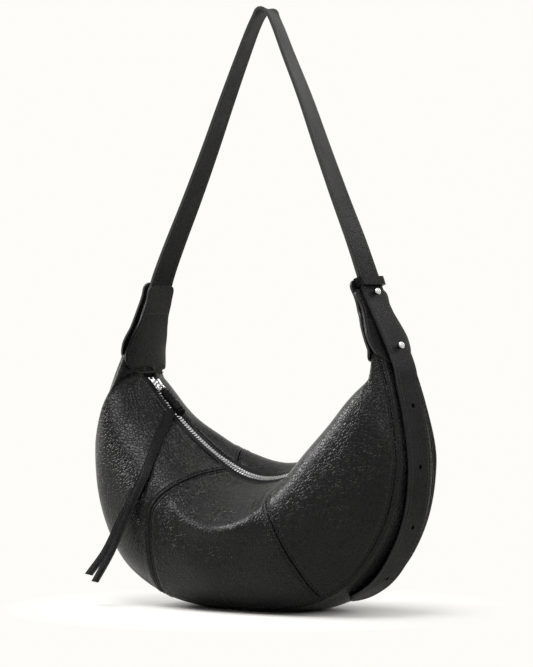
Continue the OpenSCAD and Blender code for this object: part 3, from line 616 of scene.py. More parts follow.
def cloth_material(name, colour, thread):
    """Plain weave of crossing threads"""
    m = Finish(name)
    turned = m.node("Mapping", {"Rotation": (0.3, 0.2, 0.785), "Vector": m.where}).outputs["Vector"]
    waves = [m.node("TexWave", {"Scale": 0.16 / thread, "Distortion": 0.6, "Vector": turned},
                    bands_direction=axis).outputs["Fac"] for axis in ("X", "Y")]
    weave = m.maths("MAXIMUM", *waves)
    m.bump(weave, thread * 0.4)
    return m.shade({"Base Color": m.ramp(weave, [(0.2, tint(colour, 0.5)), (0.9, colour)]),
                    "Roughness": 0.85, "Specular IOR Level": 0.1})


def thread_material(name, colour):
    """Twisted thread"""
    m = Finish(name)
    twist = m.node("TexWave", {"Scale": 900, "Vector": m.where}, bands_direction="DIAGONAL").outputs["Fac"]
    m.bump(twist, 0.00006)
    return m.shade({"Base Color": m.ramp(twist, [(0.2, colour), (0.9, tint(colour, 2.2))]), "Roughness": 0.5})


def edge_material(name, colour):
    """Painted cut edge: a thin glossy coat with a few ripples"""
    m = Finish(name)
    ripple = m.noise(420)["Fac"]
    m.bump(ripple, 0.00012)
    return m.shade({"Base Color": m.ramp(ripple, [(0.35, colour), (0.7, tint(colour, 1.5))]),
                    "Roughness": 0.35, "Specular IOR Level": 0.35})


MATERIALS = {}


def finish_of(key):
    """The bag's materials, each made once"""
    if key not in MATERIALS:
        f = finishes()
        strap, metal, fine, depth = tuple(f.strap), tuple(f.metal), f.pebble, f.pebble_depth
        make, *values = {
            "body leather": (leather_material, tuple(f.leather), fine, depth),
            "strap leather": (leather_material, strap, fine * 0.6, depth * 0.45, (0.32, 0.44), 1.72, 0.055),
            "tab leather": (leather_material, strap, fine * 0.75, depth * 0.6, (0.30, 0.42), 1.72, 0.13),
            "thread": (thread_material, tuple(f.thread)),
            # The edge paint is the strap's colour lightened 2.5 times, a painted highlight along the cut
            # edges.
            "edge paint": (edge_material, tint(strap, 2.5)),
            "polished metal": (metal_material, metal, 0.12),
            "zip metal": (metal_material, tint(metal, 1.15), 0.22),
            "lining cloth": (cloth_material, tuple(f.lining), 0.0006),
            "zip tape": (cloth_material, (0.014, 0.014, 0.015), 0.0005),
        }[key]
        MATERIALS[key] = make(key.capitalize(), *values)
    return MATERIALS[key]


# Stitches

STITCH_LENGTH, STITCH_RADIUS, STITCH_SINK = 0.0025, 0.00034, 0.00008


def stitch_rows(name, rows, sink=STITCH_SINK):
    """Stitches along rows of (points, normals). One stitch is shaped, and the rest are its copies"""
    deselect()
    bpy.ops.mesh.primitive_uv_sphere_add(segments=6, ring_count=6, radius=1.0)
    co, faces = take_shape(bpy.context.object)
    co = co * [STITCH_RADIUS, STITCH_RADIUS, STITCH_LENGTH / 2]
    reach = STITCH_LENGTH * 0.3
    laid = []
    for points, normals in rows:
        run = run_of(points)
        count = int(run[-1] / strap_sizes().stitch_pitch)
        if count < 2:
            continue
        at = (np.arange(count) + 0.5) * run[-1] / count
        way = unit(at_run(at + reach, run, points) - at_run(at - reach, run, points))
        out = unit(at_run(at, run, normals))
        out = unit(out - way * (out * way).sum(-1, keepdims=True))
        laid.append(lay_copies(co, at_run(at, run, points) - out * sink, out, np.cross(way, out), way))
    obj = copies(name, np.concatenate(laid), faces, "thread")
    close_faces(obj)
    smooth(obj, 80)
    return obj


# Leather panels

STITCH_AT = 0.0031
NEAR = [0, 0.0004, 0.0008, 0.0013, 0.0018, 0.0022, 0.0025, 0.0028, STITCH_AT, 0.0034, 0.0037, 0.0043,
        0.0054, 0.0076, 0.011]
# Middle, reach and height of the roll into the seam, the puff, the stitches' groove and the swell
SEAM_SHAPE = ((0, 0.0006, -0.0012), (0.0016, 0.0009, 0.0004), (STITCH_AT, 0.00045, -0.0007),
              (0.0062, 0.0026, 0.0006))
PANEL_SAMPLES = 73
PANEL_COLUMNS = (("left", 70), ("centre", 60), ("right", 70))
PANEL_ROWS = 44
GUSSET_COLUMNS, GUSSET_ROWS = 200, 14
SEAM_GAP, SEAM_GAP_S = 0.0002, 0.003
FOLD_LINE = (0.352, 0.115, -0.44)
FOLD_CREST, FOLD_ABOVE, FOLD_BELOW = 0.0065, 0.085, 0.036
FOLD_DIP = (0.095, 0.055, -0.0014)
FOLD_MIDDLE, FOLD_REACH = 0.01, 0.33
SWELLS = (0.0006, 0.0004)
CALM_EDGE, CALM_SIDE_SEAM = 0.018, 0.012


def spaced(total, fill, first, last):
    """Distances along a run of a given length, close together near the ends that have a seam"""
    near = np.array(NEAR)
    scale = np.minimum(1.0, total[..., None] * 0.45 / near[-1])
    a = (near if first else np.zeros(1)) * scale
    b = total[..., None] - ((near if last else np.zeros(1)) * scale)[..., ::-1]
    k = (np.arange(fill) + 1) / (fill + 1)
    return np.concatenate([a, mix(a[..., -1:], b[..., :1], k), b], -1)


def panel_grid(t_of, s_low, s_high, cols, rows, seams):
    """Grid of places (t, s) over a panel, spaced by length, with its distances to the four edges"""
    s_fine, u_fine = np.linspace(s_low, s_high, PANEL_SAMPLES), np.linspace(0, 1, PANEL_SAMPLES)
    S, U = np.meshgrid(s_fine, u_fine, indexing="ij")
    run = run_of(raw_point(t_of(U, S), S), 1)
    want = spaced(run[:, -1], cols, *seams[:2])
    u_cols = np.stack([np.interp(w, r, u_fine) for w, r in zip(want, run)])
    S = np.repeat(s_fine[:, None], u_cols.shape[1], 1)
    down = run_of(raw_point(t_of(u_cols, S), S))
    from_top = spaced(down[-1], rows, *seams[2:])
    s = np.stack([np.interp(w, d, s_fine) for w, d in zip(from_top, down.T)], 1)
    u, from_left = (np.stack([np.interp(s_col, s_fine, col) for s_col, col in zip(s.T, table.T)], 1)
                    for table in (u_cols, want))
    width = np.interp(s, s_fine, run[:, -1])
    from_top = from_top.T
    return t_of(u, s), s, (from_left, width - from_left, from_top, down[-1][None] - from_top)


def slouch(t, s):
    """Soft folds of the filled leather: a crest under the zip, and slow waves"""
    fold = s - (FOLD_LINE[0] + FOLD_LINE[1] * t + FOLD_LINE[2] * t ** 2)
    crest = hump(fold, 0, np.where(fold < 0, FOLD_ABOVE, FOLD_BELOW), FOLD_CREST) + hump(fold, *FOLD_DIP)
    crest = crest * np.exp(-((t - FOLD_MIDDLE) / FOLD_REACH) ** 4)
    waves = (SWELLS[0] * np.sin(9 * t + 11 * s) * np.sin(7 * s - 5 * t + 1.0)
             + SWELLS[1] * np.sin(17 * t - 8 * s + 0.6))
    return (s < 1) * crest + waves * ease((1.15 - np.abs(t)) / 0.2)


def leather_panel(name, node, t_of, s_low, s_high, cols, rows, seams, back=False):
    """One panel with its rolled seams, and the points and normals of its stitch rows"""
    t, s, d = panel_grid(t_of, s_low, s_high, cols, rows, seams)
    s = 2 - s if back else s
    n = body_normal(t, s)
    lift = slouch(t, s) * ease(np.minimum.reduce(d) / CALM_EDGE)
    for k in range(4):
        if seams[k]:
            soft = ease(d[2] / CALM_SIDE_SEAM) if back and k < 2 else 1
            lift = lift + sum(hump(d[k], *row) for row in SEAM_SHAPE) * soft
    p = raw_point(t, s) + n * lift[..., None]
    p[..., 2] = np.maximum(p[..., 2], 0.0)
    obj = sheet_piece(name, p, mean_way(n), body_sizes().leather, "body leather", angle=60)
    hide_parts(node)
    near = NEAR.index(STITCH_AT)
    lines = (np.s_[near:-near, near], np.s_[near:-near, -1 - near],
             np.s_[near, near:-near], np.s_[-1 - near, near:-near])
    return [(p[line], n[line]) for line, seam in zip(lines, seams) if seam]


class HALFMOON_OT_body(Operator):
    """Draw the six panels and the gusset, with their seams and stitches"""
    bl_idname = "half_moon.body"
    bl_label = "Leather Body"

    def execute(self, context):
        seam = SEAM_GAP / zip_half()
        stitches = []

        def edge(k, s, gap):
            if k in (0, 3):
                return np.full_like(s, HORN_T if k else -HORN_T)
            return along(SEAM_ROWS, s)[..., k - 1] + gap

        for back in (False, True):
            for k, (part, cols) in enumerate(PANEL_COLUMNS):
                name = ("back_" if back else "front_") + part
                stitches += leather_panel(
                    name, name + "_panel", lambda u, s: mix(edge(k, s, seam), edge(k + 1, s, -seam), u),
                    0.0, SEAM_S - SEAM_GAP_S, cols, PANEL_ROWS, (k > 0, k < 2, True, True), back)
        stitches += leather_panel(
            "gusset_band", "gusset", lambda u, s: mix(-HORN_T, HORN_T, u),
            SEAM_S + SEAM_GAP_S, 2 - SEAM_S - SEAM_GAP_S, GUSSET_COLUMNS, GUSSET_ROWS,
            (False, False, True, True))
        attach(stitch_rows("body_stitches", stitches), "bag")
        return {"FINISHED"}


LINING_GAP, LINING_WALL = 0.0031, 0.0007
LINING_FLOOR = 0.0029


class HALFMOON_OT_lining(Operator):
    """Draw the cloth lining inside the leather"""
    bl_idname = "half_moon.lining"
    bl_label = "Lining"

    def execute(self, context):
        s = np.r_[np.linspace(0.012, 0.8, 26), np.linspace(0.85, 1.15, 7), np.linspace(1.2, 1.988, 26)]
        S, T = np.meshgrid(s, np.linspace(-1.02, 1.02, 90), indexing="ij")
        p = raw_point(T, S) - body_normal(T, S) * (LINING_GAP - np.minimum(slouch(T, S), 0))[..., None]
        p[..., 2] = np.maximum(p[..., 2], LINING_FLOOR)
        obj = sheet_piece(
            "lining_cloth", p, lambda c: np.c_[c[:, 0] * 0, c[:, 1] - 0.003, np.full(len(c), -0.02)],
            LINING_WALL, "lining cloth", angle=60)
        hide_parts("lining")
        return {"FINISHED"}


# Zip

UP = np.array([0.0, 0.0, 1.0])
TO_BACK = np.array([0.0, 1.0, 0.0])
TOOTH_PITCH, TOOTH_LENGTH, TOOTH_HEIGHT, TOOTH_EDGE = 0.003, 0.0012, 0.0022, 0.0003
TOOTH_ROOT = 0.0031
TOOTH_TIP = {-1: 0.0018, 1: -0.0010}
NOSE_LENGTH_SHARE, NOSE_HEIGHT_SHARE = 0.7, 0.8
TAPE_IN, TAPE_OUT, TAPE_LIFT, TAPE_WALL = 0.0021, 0.0078, 0.0003, 0.0006
ZIP_LEAN, ZIP_LIFT, ZIP_LEAN_END = math.radians(30), 0.0009, (0.030, 0.038)
ZIP_END_ROOM = 0.0065
END_PATCH_T = (0.985, 1.19)
END_PATCH_DROP, END_PATCH_LAP, END_PATCH_WALL = 0.0034, 0.0008, 0.0008


def zip_frame(run):
    """Place and directions along, across and out of the zip, which leans to the front over its sag"""
    turn = zip_turn(run)
    share = 1 - rise(np.abs(run), *ZIP_LEAN_END)
    x, z = zip_point(run)
    way = np.stack([np.cos(turn), 0 * turn, np.sin(turn)], -1)
    up = np.stack([-np.sin(turn), 0 * turn, np.cos(turn)], -1)
    lean = (ZIP_LEAN * share)[..., None]
    place = np.stack([x, ZIP_Y + 0 * x, z], -1) + up * (ZIP_LIFT * share)[..., None]
    return place, way, TO_BACK * np.cos(lean) + up * np.sin(lean), up * np.cos(lean) - TO_BACK * np.sin(lean)


class HALFMOON_OT_zip(Operator):
    """Draw the zip's tapes, teeth and end patches, and finish its stops and slider"""
    bl_idname = "half_moon.zip"
    bl_label = "Zip"

    def execute(self, context):
        half = zip_half()
        place, way, over, up = zip_frame(np.linspace(-half, half, 240))
        for part, side in (("front", -1), ("back", 1)):
            across = side * np.linspace(TAPE_IN, TAPE_OUT, 8)
            p = place[:, None] + over[:, None] * across[None, :, None] + up[:, None] * TAPE_LIFT
            obj = sheet_piece("zip_cloth_" + part, p, UP, TAPE_WALL, "zip tape")
            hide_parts("zip_tape_" + part)
            obj = self.teeth("zip_row_" + part, side, half)
            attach(obj, "bag")
            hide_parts("zip_teeth_" + part)
        paint_node("zip_stops", "zip metal")
        for node in ("slider_body", "slider_bail", "pull_ring"):
            paint_node(node, "polished metal")
        T, Q = np.meshgrid(np.linspace(*END_PATCH_T, 24), np.linspace(-1, 1, 9), indexing="ij")
        for name, side in (("zip_end_left", -1), ("zip_end_right", 1)):
            base, way, h = tab_line(True, side, T)
            spot = base - way * END_PATCH_DROP
            y = zip_place(T) + Q * (zip_opening(T) + END_PATCH_LAP)
            sheet_piece(name, np.stack([side * spot[..., 0], y, spot[..., 1]], -1), UP, END_PATCH_WALL,
                        "strap leather")
        return {"FINISHED"}

    def teeth(self, name, side, half):
        """One tooth is a bevelled bar with a narrow nose, and the others are its copies"""
        tip = TOOTH_TIP[side]
        deselect()
        bpy.ops.mesh.primitive_cube_add(size=1)
        one = bpy.context.object
        one.data.transform(Matrix.Diagonal((TOOTH_LENGTH, TOOTH_ROOT + tip, TOOTH_HEIGHT, 1)))
        one.data.transform(Matrix.Translation((0, side * (TOOTH_ROOT - tip) / 2, 0)))
        for v in one.data.vertices:
            if v.co.y * side < 0:
                v.co.x *= NOSE_LENGTH_SHARE
                v.co.z *= NOSE_HEIGHT_SHARE
        bevel(one, TOOTH_EDGE, 2)
        apply_modifiers(one)
        co, faces = take_shape(one)
        count = int((half - ZIP_END_ROOM) / TOOTH_PITCH)
        run = (np.arange(2 - count, count + 1) + (0.5 if side > 0 else 0)) * TOOTH_PITCH
        place, *ways = zip_frame(run)
        obj = copies(name, lay_copies(co, place, *ways), faces, "zip metal")
        smooth(obj, 40)
        return obj


# Pull and tassel

PULL_AT = np.array([-0.12842, 0.007, 0.201863])
PULL_WAY = (0.7548, -0.0863, -0.6503)
GRIP_START, GRIP_LENGTH, GRIP_CORE = 0.0108, 0.031, 0.0034
WRAP_PITCH, WRAP_HEIGHT = 0.0046, 0.00075
NECK_RADIUS, KNOB_RADIUS = 0.0030, 0.0046
BAND_START, BAND_LENGTH, BAND_RADIUS, BAND_TURN = 0.0297, 0.0085, 0.0034, 0.0028
CAP_START = 0.0388
EYE_AT, EYE_RADIUS, EYE_LENGTH = 0.0093, 0.0022, 0.0052
STRIP_WALL, STRIP_EDGE, STRIP_CROWN = 0.0013, 0.00025, 0.0002
STRIP_LINE = (0.72, 0.06, -0.00022)
STRIP_SLANT = (7.2, 0.8)
# Shares of half the body's length, of the front's depth and of the horn's height
FRONT_STRIP = [[-0.597, -0.038, 0.690], [-0.575, -0.204, 0.647], [-0.546, -0.425, 0.596],
               [-0.511, -0.668, 0.530], [-0.487, -0.876, 0.460], [-0.509, -1.008, 0.381],
               [-0.556, -1.045, 0.307], [-0.636, -1.070, 0.195], [-0.733, -1.110, 0.088]]
REAR_STRIP = [[-0.609, -0.014, 0.684], [-0.582, -0.196, 0.642], [-0.553, -0.414, 0.590],
              [-0.517, -0.652, 0.524], [-0.508, -0.856, 0.450], [-0.545, -0.968, 0.372],
              [-0.610, -0.985, 0.300], [-0.702, -1.000, 0.195], [-0.802, -1.040, 0.110]]
# Row of the strip, and where its face looks there
STRIP_FACE = [[0, 0.66, -0.30, 0.70], [3, 0.50, -0.62, 0.60], [4.2, 0.30, -0.85, 0.40],
              [5.4, 0.0, -1.00, 0.18], [8, -0.30, -1.00, 0.10]]


def both_sides(columns):
    """Columns across a piece, from those of its right half"""
    return np.array([-c for c in columns[:0:-1]] + columns)


STRIP_COLUMNS = both_sides([0, 0.4, 0.64, 0.72, 0.80, 0.93, 1])


def belt_rows(centre, across, out, width, columns, crown=0.0):
    """Rows of points of a flat strap from its middle line and its two directions"""
    return (centre[:, None] + across[:, None] * (columns[None, :, None] * width / 2)
            + out[:, None] * (crown * (1 - columns ** 2))[None, :, None])


def grip_radius(x, a):
    """The grip: a spiral wrap, a neck under the tassel's band, and a knob"""
    end = GRIP_START + GRIP_LENGTH
    wraps = WRAP_HEIGHT * np.abs(np.sin(math.pi * ((x - GRIP_START) / WRAP_PITCH - a / (2 * math.pi))))
    belly = np.clip((x - GRIP_START) / (BAND_START - GRIP_START), 0, 1)
    core = GRIP_CORE + wraps + 0.0003 * np.sin(math.pi * belly)
    core = np.where(x > BAND_START - 0.0004, NECK_RADIUS, core)
    knob = KNOB_RADIUS - 0.0009 * (np.abs(x - (CAP_START + end) / 2) / 0.0016) ** 3
    r = np.where(x > CAP_START, np.clip(knob, 0.0, KNOB_RADIUS), core)
    return r * quarter((x - GRIP_START) / 0.0012) * quarter((end - x) / 0.0008)


def band_radius(x, a):
    """The tassel's band: rounded ends and the lines between its turns"""
    ends = quarter(np.minimum(x - BAND_START, BAND_START + BAND_LENGTH - x) / 0.0007)
    line = np.abs(((x - BAND_START) / BAND_TURN) % 1 - 0.5) < 0.07
    return BAND_RADIUS + 0.0012 * ends - 0.00035 * line


class HALFMOON_OT_pull(Operator):
    """Draw the wrapped leather grip and the tassel's two strips"""
    bl_idname = "half_moon.pull"
    bl_label = "Pull and Tassel"

    def execute(self, context):
        way = unit(np.array(PULL_WAY))
        side = unit(np.cross(way, UP))
        up = np.cross(side, way)

        def lathe(name, xs, radius):
            X, A = np.meshgrid(np.unique(np.concatenate(xs)), np.linspace(0, 2 * math.pi, 41), indexing="ij")
            spoke = side * np.cos(A)[..., None] + up * np.sin(A)[..., None]
            p = PULL_AT + way * X[..., None] + spoke * radius(X, A)[..., None]
            p[:, -1] = p[:, 0]
            obj = grid_piece(name, p)
            close_faces(obj)
            smooth(obj, 50)
            obj.data.materials.append(finish_of("strap leather"))
            return obj

        grip_end, band_end = GRIP_START + GRIP_LENGTH, BAND_START + BAND_LENGTH
        grip = lathe("pull_wrap", (
            np.linspace(GRIP_START, GRIP_START + 0.0014, 8), np.linspace(GRIP_START, BAND_START, 70),
            [BAND_START - 0.0004, BAND_START - 0.00035], np.linspace(BAND_START, CAP_START, 8),
            [CAP_START + 0.0001], np.linspace(CAP_START + 0.0002, grip_end, 16)), grip_radius)
        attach(grip, "pull")
        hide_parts("pull_grip")
        self.eye(Matrix((side, up, way)).transposed().to_4x4(), Vector(PULL_AT + way * EYE_AT))
        band = lathe("tassel_wrap", (
            np.linspace(BAND_START, BAND_START + 0.0008, 6), np.linspace(BAND_START, band_end, 46),
            np.linspace(band_end - 0.0008, band_end, 6)), band_radius)
        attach(band, "tassel")
        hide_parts("tassel_band")
        self.strip("front", FRONT_STRIP, 0.004)
        self.strip("rear", REAR_STRIP, 0.005)
        return {"FINISHED"}

    def eye(self, turn, spot):
        """The leather loop through the ring"""
        deselect()
        bpy.ops.mesh.primitive_cylinder_add(vertices=32, radius=EYE_RADIUS, depth=EYE_LENGTH)
        obj = bpy.context.object
        obj.name = obj.data.name = "pull_eye"
        obj.data.transform(Matrix.Translation(spot) @ turn @ Matrix.Rotation(math.pi / 2, 4, "Y"))
        bevel(obj, 0.0006, 3)
        apply_modifiers(obj)
        smooth(obj, 50)
        obj.data.materials.append(finish_of("strap leather"))
        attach(obj, "pull")

    def strip(self, part, shares, cut):
        """One strip, with a pressed line along each edge and a slanted end"""
        b = body_sizes()
        last = len(shares) - 1
        rows = np.c_[np.arange(last + 1), np.array(shares) * [b.length / 2, b.front_depth, b.horn_height]]
        k = np.linspace(0, last, 170)
        d = unit(along(rows, np.minimum(last, k + 0.05)) - along(rows, np.maximum(0, k - 0.05)))
        across = unit(np.cross(d, along(STRIP_FACE, k)))
        out = np.cross(across, d)
        p = belt_rows(along(rows, k), across, out, strap_sizes().tassel_width, STRIP_COLUMNS, STRIP_CROWN)
        line = hump(np.abs(STRIP_COLUMNS), *STRIP_LINE)
        slant = rise(k, *STRIP_SLANT)[:, None] * (STRIP_COLUMNS[None] * cut / 2)
        p = p + out[:, None] * line[None, :, None] + d[:, None] * slant[..., None]
        obj = sheet_piece("tassel_" + part, p, mean_way(out), STRIP_WALL, "strap leather", "tassel",
                          0, STRIP_EDGE)
        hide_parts("tassel_strip_" + part)


# Tabs. A layer is inner or outer, and its side is -1 at the sewn left tab and 1 at the right tab

FIT = 0.0003
# Share of the tab's height, and share of its widest part there
LEFT_BOTTLE = [[0, 0.08], [0.02, 0.34], [0.05, 0.56], [0.09, 0.74], [0.14, 0.87], [0.20, 0.95], [0.28, 1.0],
               [0.37, 0.97], [0.54, 0.83], [0.70, 0.71], [0.84, 0.615], [0.92, 0.61], [0.96, 0.59],
               [0.985, 0.52], [1.0, 0.42]]
BOTTLE = [[0, 0.10], [0.012, 0.36], [0.04, 0.60], [0.08, 0.78], [0.14, 0.91], [0.24, 0.99], [0.36, 1.0],
          [0.52, 0.89], [0.70, 0.75], [0.80, 0.735], [0.90, 0.79], [0.96, 0.76], [1.0, 0.62]]
TAB_STARTS = {(True, -1): 1.005, (True, 1): 1.26, (False, -1): 1.37, (False, 1): 1.41}
TAB_LIFTS = {(True, -1): 0.0019, (True, 1): 0.0006, (False, -1): FIT, (False, 1): FIT}
CROSS_LINES = {(True, -1): 0.268, (True, 1): 0.268, (False, -1): 0.268, (False, 1): 0.262}
TAB_TOP_X = 0.119294
STAND_UP, STAND_BACK = 0.007, 0.0027
LIP_UP, EAR_UP = 0.0032, 0.006
WAIST = (0.62, 0.15, 0.003)
TAB_COLUMNS = both_sides([0, 0.16, 0.33, 0.5, 0.66, 0.78, 0.85, 0.9, 0.95, 0.985, 1])
TAB_FOOT_ROWS, TAB_TOP_ROWS, TAB_LINE_ROW = 46, 22, 5
TAB_LINE_INSET = 0.0032
TAB_EDGE = 0.0005


def tab_line(inner, side, t):
    """Edge of the horn under a layer, with the way out of the horn and the horn's height"""
    near, far = inner_line(side * t) * [side, 1], outer_line(side * t) * [side, 1]
    h = np.linalg.norm(far - near, axis=-1)
    down = (far - near) / h[..., None]
    return (near, -down, h) if inner else (far, down, h)


def layer_top(inner, side):
    """How far a layer's top stands beside and above the strap's foot"""
    if side > 0:
        return (-STAND_BACK, STAND_UP) if inner else (FIT, 0.0)
    return (0.0, LIP_UP) if inner else (strap_sizes().thickness + 2 * FIT, EAR_UP)


def tab_points(inner, side, t, up, q, depth, inset=0.0):
    """Points of one tab layer: t along the horn, up above it, q across"""
    w = strap_sizes()
    base, way, h = tab_line(inner, side, t)
    start = base + way * (TAB_LIFTS[inner, side] + depth)
    top_x, top_z = np.add(layer_top(inner, side), (TAB_TOP_X, w.tab_top))
    middle = mix(start, np.array([top_x + (-depth if inner else depth), top_z]), up[..., None])
    low = tab_line(inner, side, np.array(TAB_STARTS[inner, side]))[0][1]
    share = np.clip((middle[..., 1] - low) / (top_z - low), 0, 1)
    waist = hump(share, *WAIST) if inner and side < 0 else 0
    half_w = along(BOTTLE if side > 0 else LEFT_BOTTLE, share)[..., 0] * w.tab_width / 2 - waist
    y = q * np.maximum(half_w - inset, 0) + (zip_place(t, TAB_TO_MIDDLE) if inner else 0) - waist
    face = np.where(q < 0, -1.0, 1.0)
    body_depth, g, edge_y = section(t, face)
    if inner:
        bulge = body_depth * 1.05 + w.tab_thickness - face * edge_y
        fall = top_rise(side * t, face, h, np.arcsin(np.clip(face * (y - edge_y) / bulge, 0, 1)))
    else:
        edge_h = np.minimum(GUSSET_EDGE, GUSSET_EDGE_SHARE * h)
        fall = edge_h * (1 - np.sin(math.pi / 2 * (1 - np.minimum(1, np.abs(y) / g))))
    back = middle - way * (fall * (1 - up))[..., None]
    return np.stack([side * back[..., 0], y, back[..., 1]], -1)


def tab_layer(name, node, inner, side):
    """One layer, and the points and normals of its stitch rows"""
    wall = strap_sizes().tab_thickness
    foot = mix(TAB_STARTS[inner, side], HORN_T, np.linspace(0, 1, TAB_FOOT_ROWS) ** 1.6)
    t = np.r_[foot, np.full(TAB_TOP_ROWS, HORN_T)]
    up = np.r_[np.zeros(TAB_FOOT_ROWS), np.linspace(0, 1, TAB_TOP_ROWS + 1)[1:]]
    T, Q = np.meshgrid(t, TAB_COLUMNS, indexing="ij")
    R = np.repeat(up[:, None], len(TAB_COLUMNS), 1)
    p = tab_points(inner, side, T, R, Q, wall)
    out = mean_way(unit(p - tab_points(inner, side, T, R, Q, 0.0)))
    obj = sheet_piece(name, p, out, wall, "tab leather", edge=TAB_EDGE, segments=3)
    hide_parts(node)
    # The stitch line runs down one edge, round the end and up the other
    k = TAB_LINE_ROW
    line = [tab_points(inner, side, t[k:], up[k:], np.full(len(t) - k, q), wall, TAB_LINE_INSET)
            for q in (-1.0, 1.0)]
    q = np.linspace(-1, 1, 13)[1:-1]
    end = tab_points(inner, side, np.full(len(q), t[k]), np.zeros(len(q)), q, wall, TAB_LINE_INSET)
    path = np.concatenate([line[0][::-1], end, line[1]])
    height = p[:, len(TAB_COLUMNS) // 2, 2]
    cross = p[int(np.argmin(np.abs(height - CROSS_LINES[inner, side]))), 3:-3]
    return [(row, np.tile(unit(out), (len(row), 1))) for row in (path, cross)]


class HALFMOON_OT_tabs(Operator):
    """Draw the two layers of each tab with their stitching, and finish the studs"""
    bl_idname = "half_moon.tabs"
    bl_label = "Tabs"

    def execute(self, context):
        rows = []
        for hand, side in (("left", -1), ("right", 1)):
            for layer, inner in (("inner", True), ("outer", False)):
                rows += tab_layer(f"tab_{hand}_{layer}", f"{hand}_tab_{layer}", inner, side)
        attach(stitch_rows("tab_stitches", rows), "bag")
        for node in ("studs", "stud_screws"):
            paint_node(node, "polished metal")
        return {"FINISHED"}


# Strap

# Row, share of the foot's X, share of the rise from the tabs' tops to the strap's top
STRAP_SHARES = [
    [0, -0.995, 0.000], [1, -0.945, 0.062], [2, -0.836, 0.172], [3, -0.682, 0.318], [4, -0.509, 0.492],
    [5, -0.337, 0.675], [6, -0.184, 0.832], [7, -0.066, 0.945], [8, 0.010, 0.990], [9, 0.075, 0.989],
    [10, 0.145, 0.938], [11, 0.250, 0.832], [12, 0.409, 0.675], [13, 0.574, 0.492], [14, 0.735, 0.318],
    [15, 0.876, 0.172], [16, 0.972, 0.062], [17, 1.022, 0.000]]
STRAP_LAST = 17
STRAP_TWIST = math.radians(21)
STRAP_STEP = 0.0025
STRAP_COLUMNS = both_sides([0, 0.4, 0.68, 0.77, 0.82, 0.87, 0.94, 0.985, 1])
STRAP_EDGE, ROUND_END = 0.0006, 0.010
STITCH_INSET, SEWN_FROM, SEWN_TO = 0.0030, 0.030, 0.006
TAIL_START_T = 0.48
TAIL_SLACK = 0.003
HOLES, HOLE_RADIUS, HOLE_DEPTH, FIRST_HOLE = 6, 0.0022, 0.012, 0.005
KEEPER_AT = STRAP_LAST - 0.44
KEEPER_ROOM = np.array([0.0029, 0.0024])
KEEPER_HALF, KEEPER_WALL, KEEPER_EDGE, KEEPER_CORNER = 0.004, 0.0019, 0.0004, 0.16


def strap_middle(k):
    w = strap_sizes()
    foot = TAB_TOP_X + (w.thickness + 2 * FIT) / 2
    r = along(STRAP_SHARES, k)
    return np.stack([r[..., 0] * foot, 0 * k, mix(w.tab_top, w.top, r[..., 1])], -1)


def tail_middle():
    """The tail's middle line from its free end up to the top of the right tab"""
    w = strap_sizes()
    t = np.linspace(TAIL_START_T, HORN_T - 0.02, 120)
    lift = (FIT + rise(t, TAB_STARTS[False, 1] - 0.10, 0.08) * (w.tab_thickness + FIT)
            + TAIL_SLACK * rise(t, TAIL_START_T - 0.03, 0.2) * (1 - rise(t, 0.55, 0.55)))
    bottom = np.ones_like(t)
    p = raw_point(t, bottom) + body_normal(t, bottom) * (lift + w.thickness / 2)[:, None]
    path = np.concatenate([p, line_to(p[-1], strap_middle(np.array(float(STRAP_LAST))), 14)[1:]])
    path[:, 1] = 0
    return path


def line_to(start, end, count):
    return mix(start, end, np.linspace(0, 1, count)[:, None])


def strap_path():
    """The strap's middle line from the left tab over the top to the free end, and the tail's length"""
    low = (tab_line(True, -1, np.array(HORN_T))[0] + tab_line(False, -1, np.array(HORN_T))[0]) / 2
    foot = strap_middle(np.array(0.0))
    start = mix(np.array([-low[0], 0, low[1]]), foot, 0.12)
    tail = tail_middle()[::-1]
    arch = strap_middle(np.linspace(0, STRAP_LAST, 400))
    path = np.concatenate([line_to(start, foot, 12)[:-1], arch, tail[1:]])
    run = run_of(path)
    at = np.linspace(0, run[-1], int(run[-1] / STRAP_STEP) + 1)
    path = at_run(at, run, path)
    for _ in range(3):
        path[1:-1] = (path[:-2] + 2 * path[1:-1] + path[2:]) / 4
    return path, at, run_of(tail)[-1]


